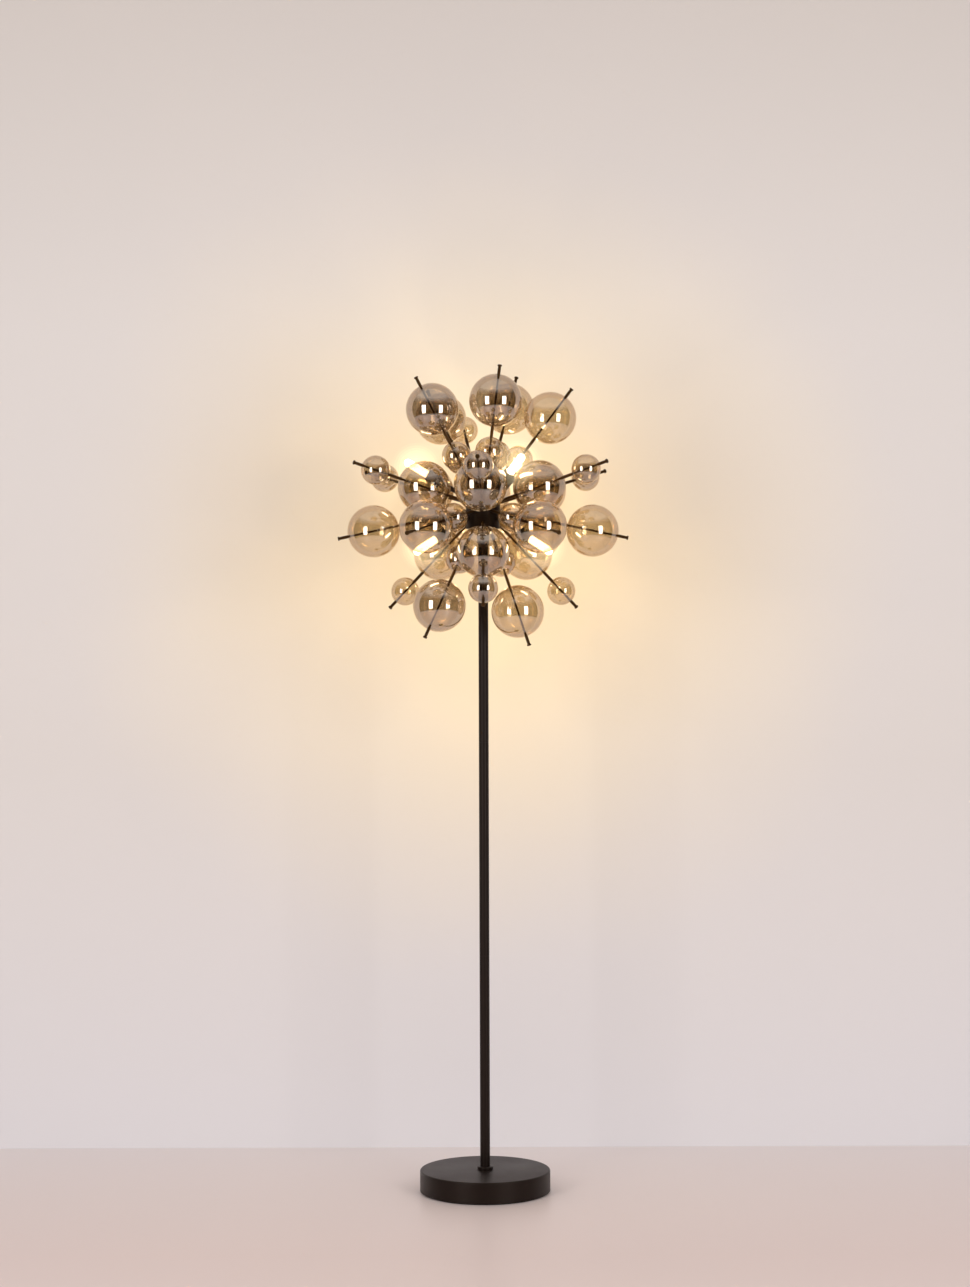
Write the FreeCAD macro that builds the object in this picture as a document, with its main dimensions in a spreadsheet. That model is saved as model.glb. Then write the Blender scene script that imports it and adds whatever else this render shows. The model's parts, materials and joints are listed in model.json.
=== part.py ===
import FreeCAD, Part
import math
import os
import re
import Sketcher

# A floor lamp: a weighted round foot, a slim column and a head of thin rods that
# radiate from one hub. Each rod carries blown glass globes, and six capsule bulbs
# stand on short arms between the rods.
# Frame: origin at the centre of the underside of the foot, +Z up, -Y to the front.
# Millimetres and degrees. An azimuth is counted from +X towards +Y, and an
# elevation from the level plane through the centre of the hub, upwards.

doc = FreeCAD.newDocument("GlobeFloorLamp")

# ---------------------------------------------------------------- driving sizes

SIZES = {
    # foot
    "foot_diameter": 250,
    "foot_height": 42,
    "cover_wall": 1.5,
    "cover_edge_radius": 3,
    "cover_hole": 10.6,
    "pad_thickness": 2,
    "pad_inset": 5,
    "pad_hole": 70,
    "weight_clearance": 0.3,
    "weight_chamfer": 3,
    "weight_recess": 46,
    "weight_web": 6.5,
    "channel_width": 12,
    "channel_depth": 14,
    # cord inlet at the back of the foot
    "gland_height": 10,
    "gland_neck": 10,
    "gland_flange": 14,
    "gland_flange_depth": 2,
    "gland_bore": 7.5,
    "gland_length": 9,
    "gland_clearance": 0.1,
    # threaded tubes, nuts and washers that hold foot, column and hub together
    "stud_diameter": 10,
    "stud_bore": 7,
    "stud_grip": 18,
    "stud_clearance": 0.15,
    "nut_flats": 17,
    "nut_height": 8,
    "nut_thread_out": 3,
    "washer_diameter": 30,
    "washer_thickness": 2,
    # column
    "column_diameter": 19,
    "column_wall": 1.5,
    "column_joint_bevel": 0.4,
    "plug_length": 22,
    "plug_clearance": 0.1,
    "coupler_length": 60,
    "coupler_bore": 9,
    "collar_diameter": 30,
    "collar_height": 6,
    "collar_edge_radius": 2,
    "collar_clearance": 0.15,
    # hub
    "hub_height": 1312,
    "hub_diameter": 66,
    "hub_depth": 41,
    "hub_wall": 5,
    "hub_floor": 5,
    "hub_edge_radius": 2,
    "dome_lip_height": 3.5,
    "dome_lip_wall": 2,
    "dome_lip_clearance": 0.15,
    "hub_screw_diameter": 3,
    "hub_screw_drop": 1.9,
    "hub_screw_sink": 0.3,
    "hub_screw_azimuth": 30,
    "hub_screw_count": 3,
    # rods, sleeves and end knobs
    "rod_diameter": 4,
    "rod_reach": 285,
    "rod_clearance": 0.1,
    "rod_set_back": 0.5,
    "sleeve_diameter": 6,
    "sleeve_clearance": 0.15,
    "sleeve_end_gap": 0.1,
    "knob_diameter": 8.4,
    "knob_length": 6.5,
    "knob_edge_radius": 1.6,
    "knob_hole_depth": 4.5,
    # glass globes
    "large_globe": 100,
    "large_wall": 1.5,
    "small_globe": 55,
    "small_wall": 1.2,
    "globe_hole": 4.7,
    # along a rod, from its end inwards: its bare tail and the gap between two globes
    "large_outside_tail": 20,
    "large_outside_gap": 23.5,
    "small_outside_tail": 20.5,
    "small_outside_gap": 28.5,
    # level and slanted rings of rods
    "upper_ring_count": 6,
    "upper_ring_azimuth": 28,
    "upper_ring_elevation": 16,
    "lower_ring_count": 6,
    "lower_ring_azimuth": 0,
    "lower_ring_elevation": -12,
    "under_ring_count": 3,
    "under_ring_azimuth": 30,
    "under_ring_elevation": -42,
    # crown and bottom rods, each set by hand
    "crown_right_azimuth": 0,
    "crown_right_elevation": 53,
    "crown_back_right_azimuth": 55,
    "crown_back_right_elevation": 66,
    "crown_back_azimuth": 102.5,
    "crown_back_elevation": 43.5,
    "crown_back_left_azimuth": 133,
    "crown_back_left_elevation": 56,
    "crown_front_left_azimuth": 212,
    "crown_front_left_elevation": 58.5,
    "crown_front_azimuth": 287,
    "crown_front_elevation": 67,
    "bottom_right_azimuth": 327,
    "bottom_right_elevation": -68.6,
    "bottom_left_azimuth": 216,
    "bottom_left_elevation": -61.3,
    # lamp arms, cups, holders and bulbs
    "lamp_ring_count": 3,
    "upper_lamp_azimuth": 60,
    "lower_lamp_azimuth": 90,
    "lamp_elevation": 31,
    "arm_diameter": 9,
    "arm_neck": 8,
    "arm_bore": 5.6,
    "arm_clearance": 0.1,
    "cup_reach": 90,
    "cup_diameter": 23,
    "cup_wall": 1.2,
    "cup_length": 34,
    "cup_edge_radius": 3,
    "arm_nut_flats": 12,
    "arm_nut_height": 4,
    "holder_diameter": 19.6,
    "holder_length": 22.4,
    "holder_chamfer": 1,
    "holder_recess_length": 12.4,
    "holder_recess_width": 6.6,
    "holder_recess_depth": 7.6,
    "pin_slot_diameter": 3.6,
    "pin_slot_depth": 15,
    "contact_wall": 0.4,
    "contact_gap": 0.15,
    "contact_length": 6,
    "bulb_seat_gap": 0.2,
    "bulb_diameter": 15,
    "bulb_length": 52,
    "bulb_wall": 1,
    "bulb_collar_length": 5,
    "bulb_spigot_length": 3,
    "bulb_spigot_clearance": 0.15,
    "tongue_length": 12,
    "tongue_width": 6,
    "tongue_depth": 7,
    "pin_spacing": 9,
    "pin_diameter": 1.5,
    "pin_length": 6.5,
    # wiring inside
    "block_diameter": 24,
    "block_height": 18,
    "block_chamfer": 1.5,
    "lead_diameter": 3,
    "lead_gap": 0.1,
    "cable_diameter": 6,
    "cable_bend_radius": 12,
    "cable_inlet_reach": 98,
}

sheet = doc.addObject("Spreadsheet::Sheet", "Sizes")
for row, (alias, number) in enumerate(SIZES.items(), start=1):
    sheet.set(f"A{row}", alias)
    sheet.set(f"B{row}", str(number))
    sheet.setAlias(f"B{row}", alias)
doc.recompute()

# ------------------------------------------------- formulas on the driving sizes


def formula(text):
    """The text with each size name pointed at its cell of the sheet."""
    return re.sub(r"\b([a-z]+(?:_[a-z]+)+)\b", r"Sizes.\1", str(text))


def worth(text):
    """What a formula comes to with the present sizes."""
    return float(sheet.evalExpression(formula(text)))


def bind(thing, prop, text):
    """Tie a property of a document object to a formula."""
    thing.setExpression(prop, formula(text))


WEIGHT_DIAMETER = "(foot_diameter - 2 * cover_wall - 2 * weight_clearance)"
WEIGHT_TOP = "(foot_height - cover_wall)"
WEIGHT_HEIGHT = f"({WEIGHT_TOP} - pad_thickness)"
WASHER_TOP = f"({WEIGHT_TOP} - weight_web)"
STUD_FOOT = f"({WASHER_TOP} - washer_thickness - nut_height - nut_thread_out)"
COLUMN_BORE = "(column_diameter - 2 * column_wall)"
HUB_UNDERSIDE = "(hub_height - hub_depth)"
COLUMN_LENGTH = f"({HUB_UNDERSIDE} - foot_height)"
COLUMN_TUBES = ("column_lower", "column_middle", "column_upper")
COLUMN_SECTION = f"({COLUMN_LENGTH} / {len(COLUMN_TUBES)})"
HUB_FLOOR_TOP = f"({HUB_UNDERSIDE} + hub_floor)"
HUB_RADIUS = "(hub_diameter / 2)"
HUB_INNER_RADIUS = "(hub_diameter / 2 - hub_wall)"
DRILL_START = f"({HUB_INNER_RADIUS} / 2)"
DRILL_LENGTH = "(hub_diameter + hub_depth)"
ARM_END = "(cup_reach + cup_wall + arm_nut_height)"
HOLDER_FACE = f"({ARM_END} + holder_length)"
BULB_SEAT = f"({HOLDER_FACE} + bulb_seat_gap)"
BULB_GLASS_START = f"({BULB_SEAT} + bulb_collar_length)"

FAR_LARGE_REACH = "(rod_reach - large_outside_tail - large_globe / 2)"
NEAR_SMALL_REACH = f"({FAR_LARGE_REACH} - large_globe / 2 - large_outside_gap - small_globe / 2)"
FAR_SMALL_REACH = "(rod_reach - small_outside_tail - small_globe / 2)"
NEAR_LARGE_REACH = f"({FAR_SMALL_REACH} - small_globe / 2 - small_outside_gap - large_globe / 2)"
HEXAGON_SIDES = 6

UP = FreeCAD.Vector(0, 0, 1)
CENTRE = FreeCAD.Vector(0, 0, 0)

# ------------------------------------------------------------- drawing helpers


def origin_plane(body, role):
    """One of the body's own origin planes, such as XZ_Plane."""
    return next(part for part in body.Origin.OriginFeatures if part.Role == role)


def new_sketch(body, name, role):
    """An empty sketch on one of the body's origin planes."""
    sketch = body.newObject("Sketcher::SketchObject", name)
    sketch.AttachmentSupport = (origin_plane(body, role), [""])
    sketch.MapMode = "FlatFace"
    return sketch


def dimension(sketch, kind, where, text):
    """A driving dimension of a sketch, bound to a formula."""
    index = sketch.addConstraint(Sketcher.Constraint(kind, *where, worth(text)))
    bind(sketch, f"Constraints[{index}]", text)


def hold_point(sketch, line, across, height):
    """Dimension the start of a line from the sketch's origin, both ways."""
    for kind, axis, text in (("DistanceX", -2, across), ("DistanceY", -1, height)):
        if text == "0":
            sketch.addConstraint(Sketcher.Constraint("PointOnObject", line, 1, axis))
        else:
            dimension(sketch, kind, (-1, 1, line, 1), text)


def draw_outline(sketch, corners):
    """A closed outline of straight lines through corners given as pairs of formulas."""
    spots = [FreeCAD.Vector(worth(across), worth(height), 0) for across, height in corners]
    for line, spot in enumerate(spots):
        following = spots[(line + 1) % len(spots)]
        sketch.addGeometry(Part.LineSegment(spot, following))
    for line, (across, height) in enumerate(corners):
        following = (line + 1) % len(corners)
        sketch.addConstraint(Sketcher.Constraint("Coincident", line, 2, following, 1))
        hold_point(sketch, line, across, height)


def draw_circle(sketch, diameter, across="0", height="0"):
    """A full circle with its centre dimensioned from the sketch's origin."""
    centre = FreeCAD.Vector(worth(across), worth(height), 0)
    circle = sketch.addGeometry(Part.Circle(centre, UP, worth(diameter) / 2))
    dimension(sketch, "Diameter", (circle,), diameter)
    for kind, axis, text in (("DistanceX", -2, across), ("DistanceY", -1, height)):
        if text == "0":
            sketch.addConstraint(Sketcher.Constraint("PointOnObject", circle, 3, axis))
        else:
            dimension(sketch, kind, (-1, 1, circle, 3), text)


def new_body(name):
    """An empty body whose label names the piece."""
    body = doc.addObject("PartDesign::Body", name)
    body.Label = name
    return body


def spin(body, sketch):
    """Turn a half section one full turn about the body's Z axis."""
    turn = body.newObject("PartDesign::Revolution", body.Name + "_turning")
    turn.Profile = sketch
    turn.ReferenceAxis = (sketch, ["V_Axis"])
    turn.Angle = 360
    return turn


def turned(name, corners):
    """A piece turned about Z from a half section of straight lines."""
    body = new_body(name)
    sketch = new_sketch(body, name + "_section", "XZ_Plane")
    draw_outline(sketch, corners)
    spin(body, sketch)
    return body


def ring_section(inner, outer, low, high):
    """The four corners of a plain ring's half section."""
    return [(inner, low), (outer, low), (outer, high), (inner, high)]


def pad_up(body, sketch, length):
    """Raise a sketch of the XY plane along +Z."""
    pad = body.newObject("PartDesign::Pad", sketch.Name + "_pad")
    pad.Profile = sketch
    bind(pad, "Length", length)
    return pad


def pocket_down(body, sketch, depth, upwards=False):
    """Cut a sketch into the solid along -Z, or along +Z where it lies below."""
    pocket = body.newObject("PartDesign::Pocket", sketch.Name + "_pocket")
    pocket.Profile = sketch
    bind(pocket, "Length", depth)
    pocket.Reversed = upwards
    return pocket


def round_edges(body, base, radius, is_edge):
    """Fillet the edges of a feature that a test picks out."""
    doc.recompute()
    chosen = [f"Edge{i}" for i, edge in enumerate(base.Shape.Edges, start=1) if is_edge(edge)]
    if not chosen:
        raise ValueError(f"{body.Name} has no edge to round")
    fillet = body.newObject("PartDesign::Fillet", f"{body.Name}_rounding_{len(body.Group)}")
    fillet.Base = (base, chosen)
    bind(fillet, "Radius", radius)
    return fillet


def circle_at(radius, height):
    """A test for a round edge about Z with this radius and height."""
    reach = worth(radius)
    level = worth(height)

    def test(edge):
        curve = edge.Curve
        if curve.TypeId != "Part::GeomCircle":
            return False
        same_level = abs(curve.Center.z - level) < 1e-4
        return same_level and abs(curve.Radius - reach) < 1e-4

    return test


# -------------------------------------------------- directions out from the hub

HUB_CENTRE = FreeCAD.Vector(0, 0, worth("hub_height"))


def turned_to(azimuth, elevation):
    """The turn that lays a piece's own +Z along a ray from the hub."""
    return FreeCAD.Rotation(azimuth, 90 - elevation, 0)


def on_ray(ray, reach=0):
    """The placement of a piece whose own origin lies on a ray at this reach."""
    turn = turned_to(*ray)
    return FreeCAD.Placement(HUB_CENTRE + turn.multVec(UP) * reach, turn)


def hub_skin(ray, radius, depth):
    """How far along a ray it is from the hub's centre to a dome on a drum."""
    elevation = math.radians(ray[1])
    if elevation >= 0:
        return radius
    return min(radius / math.cos(elevation), depth / math.sin(-elevation))


def even_ring(count, first, elevation):
    """Rays at even steps all round."""
    step = 360 / count
    return [(first + step * index, elevation) for index in range(count)]


def named_ray(name):
    """A ray set by its own pair of angles."""
    return (worth(f"{name}_azimuth"), worth(f"{name}_elevation"))


def named_ring(name):
    """An even ring of rays from its count, first azimuth and elevation."""
    count = round(worth(f"{name}_count"))
    return even_ring(count, *named_ray(name))


CROWN_RAYS = [
    named_ray("crown_right"),
    named_ray("crown_back_right"),
    named_ray("crown_back_left"),
    named_ray("crown_front_left"),
    named_ray("crown_front"),
]
CROWN_SINGLE_RAYS = [named_ray("crown_back")]
UPPER_RAYS = named_ring("upper_ring")
LOWER_RAYS = named_ring("lower_ring")
UNDER_RAYS = named_ring("under_ring")
BOTTOM_RAYS = [named_ray("bottom_right"), named_ray("bottom_left")]

# a small globe near the hub and a large one outside it
LARGE_OUTSIDE_RAYS = CROWN_RAYS + LOWER_RAYS + BOTTOM_RAYS
# a large globe near the hub and a small one outside it
SMALL_OUTSIDE_RAYS = UPPER_RAYS + UNDER_RAYS
ROD_RAYS = LARGE_OUTSIDE_RAYS + SMALL_OUTSIDE_RAYS + CROWN_SINGLE_RAYS

LAMP_COUNT = round(worth("lamp_ring_count"))
LAMP_RAYS = even_ring(LAMP_COUNT, worth("upper_lamp_azimuth"), worth("lamp_elevation"))
LAMP_RAYS += even_ring(LAMP_COUNT, worth("lower_lamp_azimuth"), -worth("lamp_elevation"))

# ------------------------------------------------------------ groups of copies

pieces = []


def keep(piece, height="0"):
    """Keep a finished piece, raised to its height."""
    bind(piece, "Placement.Base.z", height)
    pieces.append(piece)
    return piece


def copy_at(source, name, placement):
    """A copy of a piece, placed."""
    link = doc.addObject("App::Link", name)
    link.LinkedObject = source
    link.Placement = placement
    return link


def group(name, members):
    """One node that holds several separate solids of the same kind."""
    compound = doc.addObject("Part::Compound", name)
    compound.Label = name
    compound.Links = members
    return compound


def keep_group(name, members):
    """Keep a group of separate solids as one node."""
    pieces.append(group(name, members))


def copies_on_rays(name, source, rays, reach):
    """Copies of a piece at one reach on each of several rays."""
    placed = enumerate(rays, start=1)
    return [copy_at(source, f"{name}_{index}", on_ray(ray, reach)) for index, ray in placed]


# ------------------------------------------------------------------------ foot


def make_base_pad():
    """Felt-faced rubber ring under the foot."""
    section = ring_section("pad_hole / 2", "foot_diameter / 2 - pad_inset", "0", "pad_thickness")
    keep(turned("base_pad", section))


def make_base_cover():
    """Spun steel cup with a rounded rim, a centre hole and the inlet hole behind."""
    outer = "foot_diameter / 2"
    inner = "foot_diameter / 2 - cover_wall"
    hole = "cover_hole / 2"
    body = turned(
        "base_cover",
        [
            (outer, "pad_thickness"),
            (outer, "foot_height"),
            (hole, "foot_height"),
            (hole, WEIGHT_TOP),
            (inner, WEIGHT_TOP),
            (inner, "pad_thickness"),
        ],
    )
    turning = body.Tip
    rounded = round_edges(body, turning, "cover_edge_radius", circle_at(outer, "foot_height"))
    rounded = round_edges(
        body, rounded, "cover_edge_radius - cover_wall", circle_at(inner, WEIGHT_TOP)
    )
    sketch = new_sketch(body, "inlet_hole", "XZ_Plane")
    draw_circle(sketch, "gland_neck + 2 * gland_clearance", "0", "gland_height")
    pocket = body.newObject("PartDesign::Pocket", "inlet_hole_pocket")
    pocket.Profile = sketch
    bind(pocket, "Length", "foot_diameter")
    doc.recompute()
    back = FreeCAD.Vector(0, worth("(foot_diameter - cover_wall) / 2"), worth("gland_height"))
    if pocket.Shape.isInside(back, 0.01, True):
        raise ValueError("the inlet hole misses the back of the foot")
    keep(body)


def make_base_weight():
    """Cast iron disc with a nut recess, a stud hole and a cable channel below."""
    body = turned(
        "base_weight",
        [
            ("cover_hole / 2", "0"),
            (f"{WEIGHT_DIAMETER} / 2", "0"),
            (f"{WEIGHT_DIAMETER} / 2", f"{WEIGHT_HEIGHT} - weight_chamfer"),
            (f"{WEIGHT_DIAMETER} / 2 - weight_chamfer", WEIGHT_HEIGHT),
            ("cover_hole / 2", WEIGHT_HEIGHT),
        ],
    )
    recess = new_sketch(body, "nut_recess", "XY_Plane")
    draw_circle(recess, "weight_recess")
    pocket_down(body, recess, f"{WASHER_TOP} - pad_thickness", upwards=True)
    channel = new_sketch(body, "cable_channel", "XY_Plane")
    side = "channel_width / 2"
    draw_outline(
        channel,
        [
            (f"-{side}", "0"),
            (side, "0"),
            (side, "foot_diameter / 2"),
            (f"-{side}", "foot_diameter / 2"),
        ],
    )
    pocket_down(body, channel, "channel_depth", upwards=True)
    keep(body, "pad_thickness")


def make_cord_gland():
    """Flanged bush that lines the inlet hole, turned about the level line behind."""
    body = turned(
        "cord_gland",
        [
            ("gland_bore / 2", "0"),
            ("gland_flange / 2", "0"),
            ("gland_flange / 2", "gland_flange_depth / 2"),
            ("gland_flange / 2 - gland_flange_depth / 2", "gland_flange_depth"),
            ("gland_bore / 2", "gland_flange_depth"),
        ],
    )
    neck = new_sketch(body, "gland_neck_section", "XZ_Plane")
    draw_outline(
        neck,
        ring_section("gland_bore / 2", "gland_neck / 2", "gland_flange_depth - gland_length", "0"),
    )
    neck_turn = body.newObject("PartDesign::Revolution", "gland_neck_turning")
    neck_turn.Profile = neck
    neck_turn.ReferenceAxis = (neck, ["V_Axis"])
    neck_turn.Angle = 360
    outside = worth("foot_diameter / 2 + gland_clearance")
    spot = FreeCAD.Vector(0, outside, worth("gland_height"))
    body.Placement = FreeCAD.Placement(spot, FreeCAD.Rotation(FreeCAD.Vector(1, 0, 0), -90))
    pieces.append(body)


def hex_nut(name, flats, height, hole):
    """Hexagonal nut with a plain hole, raised from its underside."""
    body = new_body(name)
    sketch = new_sketch(body, name + "_hexagon", "XY_Plane")
    corner = worth(flats) / math.sqrt(3)
    step = 2 * math.pi / HEXAGON_SIDES
    angles = [step * index for index in range(HEXAGON_SIDES)]
    spots = [FreeCAD.Vector(corner * math.cos(a), corner * math.sin(a), 0) for a in angles]
    rim = sketch.addGeometry(Part.Circle(CENTRE, UP, corner), True)
    sketch.addConstraint(Sketcher.Constraint("Coincident", rim, 3, -1, 1))
    dimension(sketch, "Radius", (rim,), f"({flats}) / sqrt(3)")
    for index, spot in enumerate(spots):
        following = spots[(index + 1) % HEXAGON_SIDES]
        side = sketch.addGeometry(Part.LineSegment(spot, following))
        sketch.addConstraint(Sketcher.Constraint("PointOnObject", side, 1, rim))
        if index > 0:
            sketch.addConstraint(Sketcher.Constraint("Coincident", side - 1, 2, side, 1))
            sketch.addConstraint(Sketcher.Constraint("Equal", side - 1, side))
    first = rim + 1
    last = rim + HEXAGON_SIDES
    sketch.addConstraint(Sketcher.Constraint("Coincident", last, 2, first, 1))
    sketch.addConstraint(Sketcher.Constraint("PointOnObject", first, 1, -1))
    draw_circle(sketch, hole)
    pad_up(body, sketch, height)
    return body


def make_foot_fastening():
    """Washer, nut and threaded tube that draw the column down on the foot."""
    hole = "stud_diameter / 2 + stud_clearance"
    washer = ring_section(hole, "washer_diameter / 2", "0", "washer_thickness")
    keep(turned("base_washer", washer), f"{WASHER_TOP} - washer_thickness")
    nut = hex_nut("base_nut", "nut_flats", "nut_height", "stud_diameter + 2 * stud_clearance")
    keep(nut, f"{WASHER_TOP} - washer_thickness - nut_height")
    length = f"foot_height + stud_grip - {STUD_FOOT}"
    stud = ring_section("stud_bore / 2", "stud_diameter / 2", "0", length)
    keep(turned("base_stud", stud), STUD_FOOT)


def make_foot_collar():
    """Turned ring round the bottom of the column, with a rounded shoulder."""
    inner = "column_diameter / 2 + collar_clearance"
    outer = "collar_diameter / 2"
    body = turned("foot_collar", ring_section(inner, outer, "0", "collar_height"))
    round_edges(body, body.Tip, "collar_edge_radius", circle_at(outer, "collar_height"))
    keep(body, "foot_height")


# ---------------------------------------------------------------------- column


def column_tube(name, bevel_low, bevel_high):
    """One section of the column, with a fine bevel where it meets its neighbour."""
    outer = "column_diameter / 2"
    inner = f"{COLUMN_BORE} / 2"
    bevelled = "column_diameter / 2 - column_joint_bevel"
    section = [(inner, "0")]
    if bevel_low:
        section += [(bevelled, "0"), (outer, "column_joint_bevel")]
    else:
        section += [(outer, "0")]
    if bevel_high:
        section += [(outer, f"{COLUMN_SECTION} - column_joint_bevel")]
        section += [(bevelled, COLUMN_SECTION)]
    else:
        section += [(outer, COLUMN_SECTION)]
    section += [(inner, COLUMN_SECTION)]
    return turned(name, section)


def make_column():
    """Three tubes, the plugs at both ends and the two couplers between them."""
    last = len(COLUMN_TUBES) - 1
    for index, name in enumerate(COLUMN_TUBES):
        tube = column_tube(name, index > 0, index < last)
        keep(tube, f"foot_height + {index} * {COLUMN_SECTION}")
    fit = f"{COLUMN_BORE} / 2 - plug_clearance"
    hole = "stud_diameter / 2 + stud_clearance"
    plug = ring_section(hole, fit, "0", "plug_length")
    keep(turned("column_foot_plug", plug), "foot_height")
    keep(turned("column_head_plug", plug), f"{HUB_UNDERSIDE} - plug_length")
    coupler = turned(
        "coupler_pattern", ring_section("coupler_bore / 2", fit, "0", "coupler_length")
    )
    below = range(1, len(COLUMN_TUBES))
    joints = [worth(f"foot_height + {count} * {COLUMN_SECTION}") for count in below]
    half = worth("coupler_length / 2")
    places = [FreeCAD.Placement(UP * (joint - half), FreeCAD.Rotation()) for joint in joints]
    names = ("lower_coupler", "upper_coupler")
    copies = [copy_at(coupler, name, place) for name, place in zip(names, places)]
    keep_group("column_couplers", copies)


# ------------------------------------------------------------------------- hub


def draw_dome(sketch):
    """Half section of the dome: two quarter arcs, with a lip below the inner one."""
    outer = worth(HUB_RADIUS)
    inner = worth(HUB_INNER_RADIUS)
    lip_outer = f"{HUB_INNER_RADIUS} - dome_lip_clearance"
    lip_inner = f"{HUB_INNER_RADIUS} - dome_lip_clearance - dome_lip_wall"
    meet = worth(lip_inner)
    rise = math.sqrt(inner**2 - meet**2)
    lip_foot = -worth("dome_lip_height")
    spots = {
        "rim": FreeCAD.Vector(outer, 0, 0),
        "crest": FreeCAD.Vector(0, outer, 0),
        "inner_crest": FreeCAD.Vector(0, inner, 0),
        "meet": FreeCAD.Vector(meet, rise, 0),
        "lip_in": FreeCAD.Vector(meet, lip_foot, 0),
        "lip_out": FreeCAD.Vector(worth(lip_outer), lip_foot, 0),
        "seat": FreeCAD.Vector(worth(lip_outer), 0, 0),
    }
    start = math.atan2(rise, meet)
    sketch.addGeometry(Part.ArcOfCircle(Part.Circle(CENTRE, UP, outer), 0, math.pi / 2))
    sketch.addGeometry(Part.LineSegment(spots["crest"], spots["inner_crest"]))
    sketch.addGeometry(Part.ArcOfCircle(Part.Circle(CENTRE, UP, inner), start, math.pi / 2))
    sketch.addGeometry(Part.LineSegment(spots["meet"], spots["lip_in"]))
    sketch.addGeometry(Part.LineSegment(spots["lip_in"], spots["lip_out"]))
    sketch.addGeometry(Part.LineSegment(spots["lip_out"], spots["seat"]))
    sketch.addGeometry(Part.LineSegment(spots["seat"], spots["rim"]))
    joined = [(0, 2, 1, 1), (1, 2, 2, 2), (2, 1, 3, 1), (3, 2, 4, 1)]
    joined += [(4, 2, 5, 1), (5, 2, 6, 1), (6, 2, 0, 1), (0, 3, -1, 1), (2, 3, -1, 1)]
    for ends in joined:
        sketch.addConstraint(Sketcher.Constraint("Coincident", *ends))
    for line in (1, 3, 5):
        sketch.addConstraint(Sketcher.Constraint("Vertical", line))
    sketch.addConstraint(Sketcher.Constraint("Horizontal", 4))
    sketch.addConstraint(Sketcher.Constraint("PointOnObject", 1, 1, -2))
    sketch.addConstraint(Sketcher.Constraint("PointOnObject", 6, 1, -1))
    sketch.addConstraint(Sketcher.Constraint("PointOnObject", 6, 2, -1))
    dimension(sketch, "Radius", (0,), HUB_RADIUS)
    dimension(sketch, "Radius", (2,), HUB_INNER_RADIUS)
    dimension(sketch, "DistanceX", (-1, 1, 5, 1), lip_outer)
    dimension(sketch, "DistanceX", (-1, 1, 4, 1), lip_inner)
    dimension(sketch, "DistanceY", (-1, 1, 4, 1), "-dome_lip_height")


def drill(name, diameter, places):
    """Cylinders that cut holes through the hub's wall."""
    tools = []
    for index, place in enumerate(places, start=1):
        tool = doc.addObject("Part::Cylinder", f"{name}_{index}")
        bind(tool, "Radius", f"({diameter}) / 2")
        bind(tool, "Height", DRILL_LENGTH)
        tool.Placement = place
        tools.append(tool)
    return tools


def screw_azimuths():
    """Where the small screws enter the side of the hub."""
    count = round(worth("hub_screw_count"))
    return [worth("hub_screw_azimuth") + 360 / count * index for index in range(count)]


def screw_placement(azimuth, reach):
    """A level placement at the height of the hub's screws, pointing outwards."""
    turn = turned_to(azimuth, 0)
    level = HUB_CENTRE - UP * worth("hub_screw_drop")
    return FreeCAD.Placement(level + turn.multVec(UP) * reach, turn)


def hub_holes(name):
    """The holes for rods, lamp arms and screws, as one tool."""
    start = worth(DRILL_START)
    rod_places = [on_ray(ray, start) for ray in ROD_RAYS]
    arm_places = [on_ray(ray, start) for ray in LAMP_RAYS]
    screw_places = [screw_placement(azimuth, start) for azimuth in screw_azimuths()]
    tools = drill(f"{name}_rod_drill", "rod_diameter + 2 * rod_clearance", rod_places)
    tools += drill(f"{name}_arm_drill", "arm_diameter + 2 * arm_clearance", arm_places)
    tools += drill(f"{name}_screw_drill", "hub_screw_diameter", screw_places)
    return group(f"{name}_tools", tools)


def make_hub_shell():
    """Turned drum with a solid floor, tapped all round for rods and lamp arms."""
    body = turned(
        "hub_drum",
        [
            ("stud_diameter / 2 + stud_clearance", "-hub_depth"),
            (HUB_RADIUS, "-hub_depth"),
            (HUB_RADIUS, "0"),
            (HUB_INNER_RADIUS, "0"),
            (HUB_INNER_RADIUS, "hub_floor - hub_depth"),
            ("stud_diameter / 2 + stud_clearance", "hub_floor - hub_depth"),
        ],
    )
    round_edges(body, body.Tip, "hub_edge_radius", circle_at(HUB_RADIUS, "-hub_depth"))
    bind(body, "Placement.Base.z", "hub_height")
    drilled = doc.addObject("Part::Cut", "hub_shell")
    drilled.Label = "hub_shell"
    drilled.Base = body
    drilled.Tool = hub_holes("shell")
    pieces.append(drilled)


def make_hub_dome():
    """Domed lid of the hub, drilled square to its surface for the upper rods."""
    body = new_body("hub_dome_blank")
    sketch = new_sketch(body, "dome_section", "XZ_Plane")
    draw_dome(sketch)
    spin(body, sketch)
    bind(body, "Placement.Base.z", "hub_height")
    drilled = doc.addObject("Part::Cut", "hub_dome")
    drilled.Label = "hub_dome"
    drilled.Base = body
    drilled.Tool = hub_holes("dome")
    pieces.append(drilled)


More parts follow.
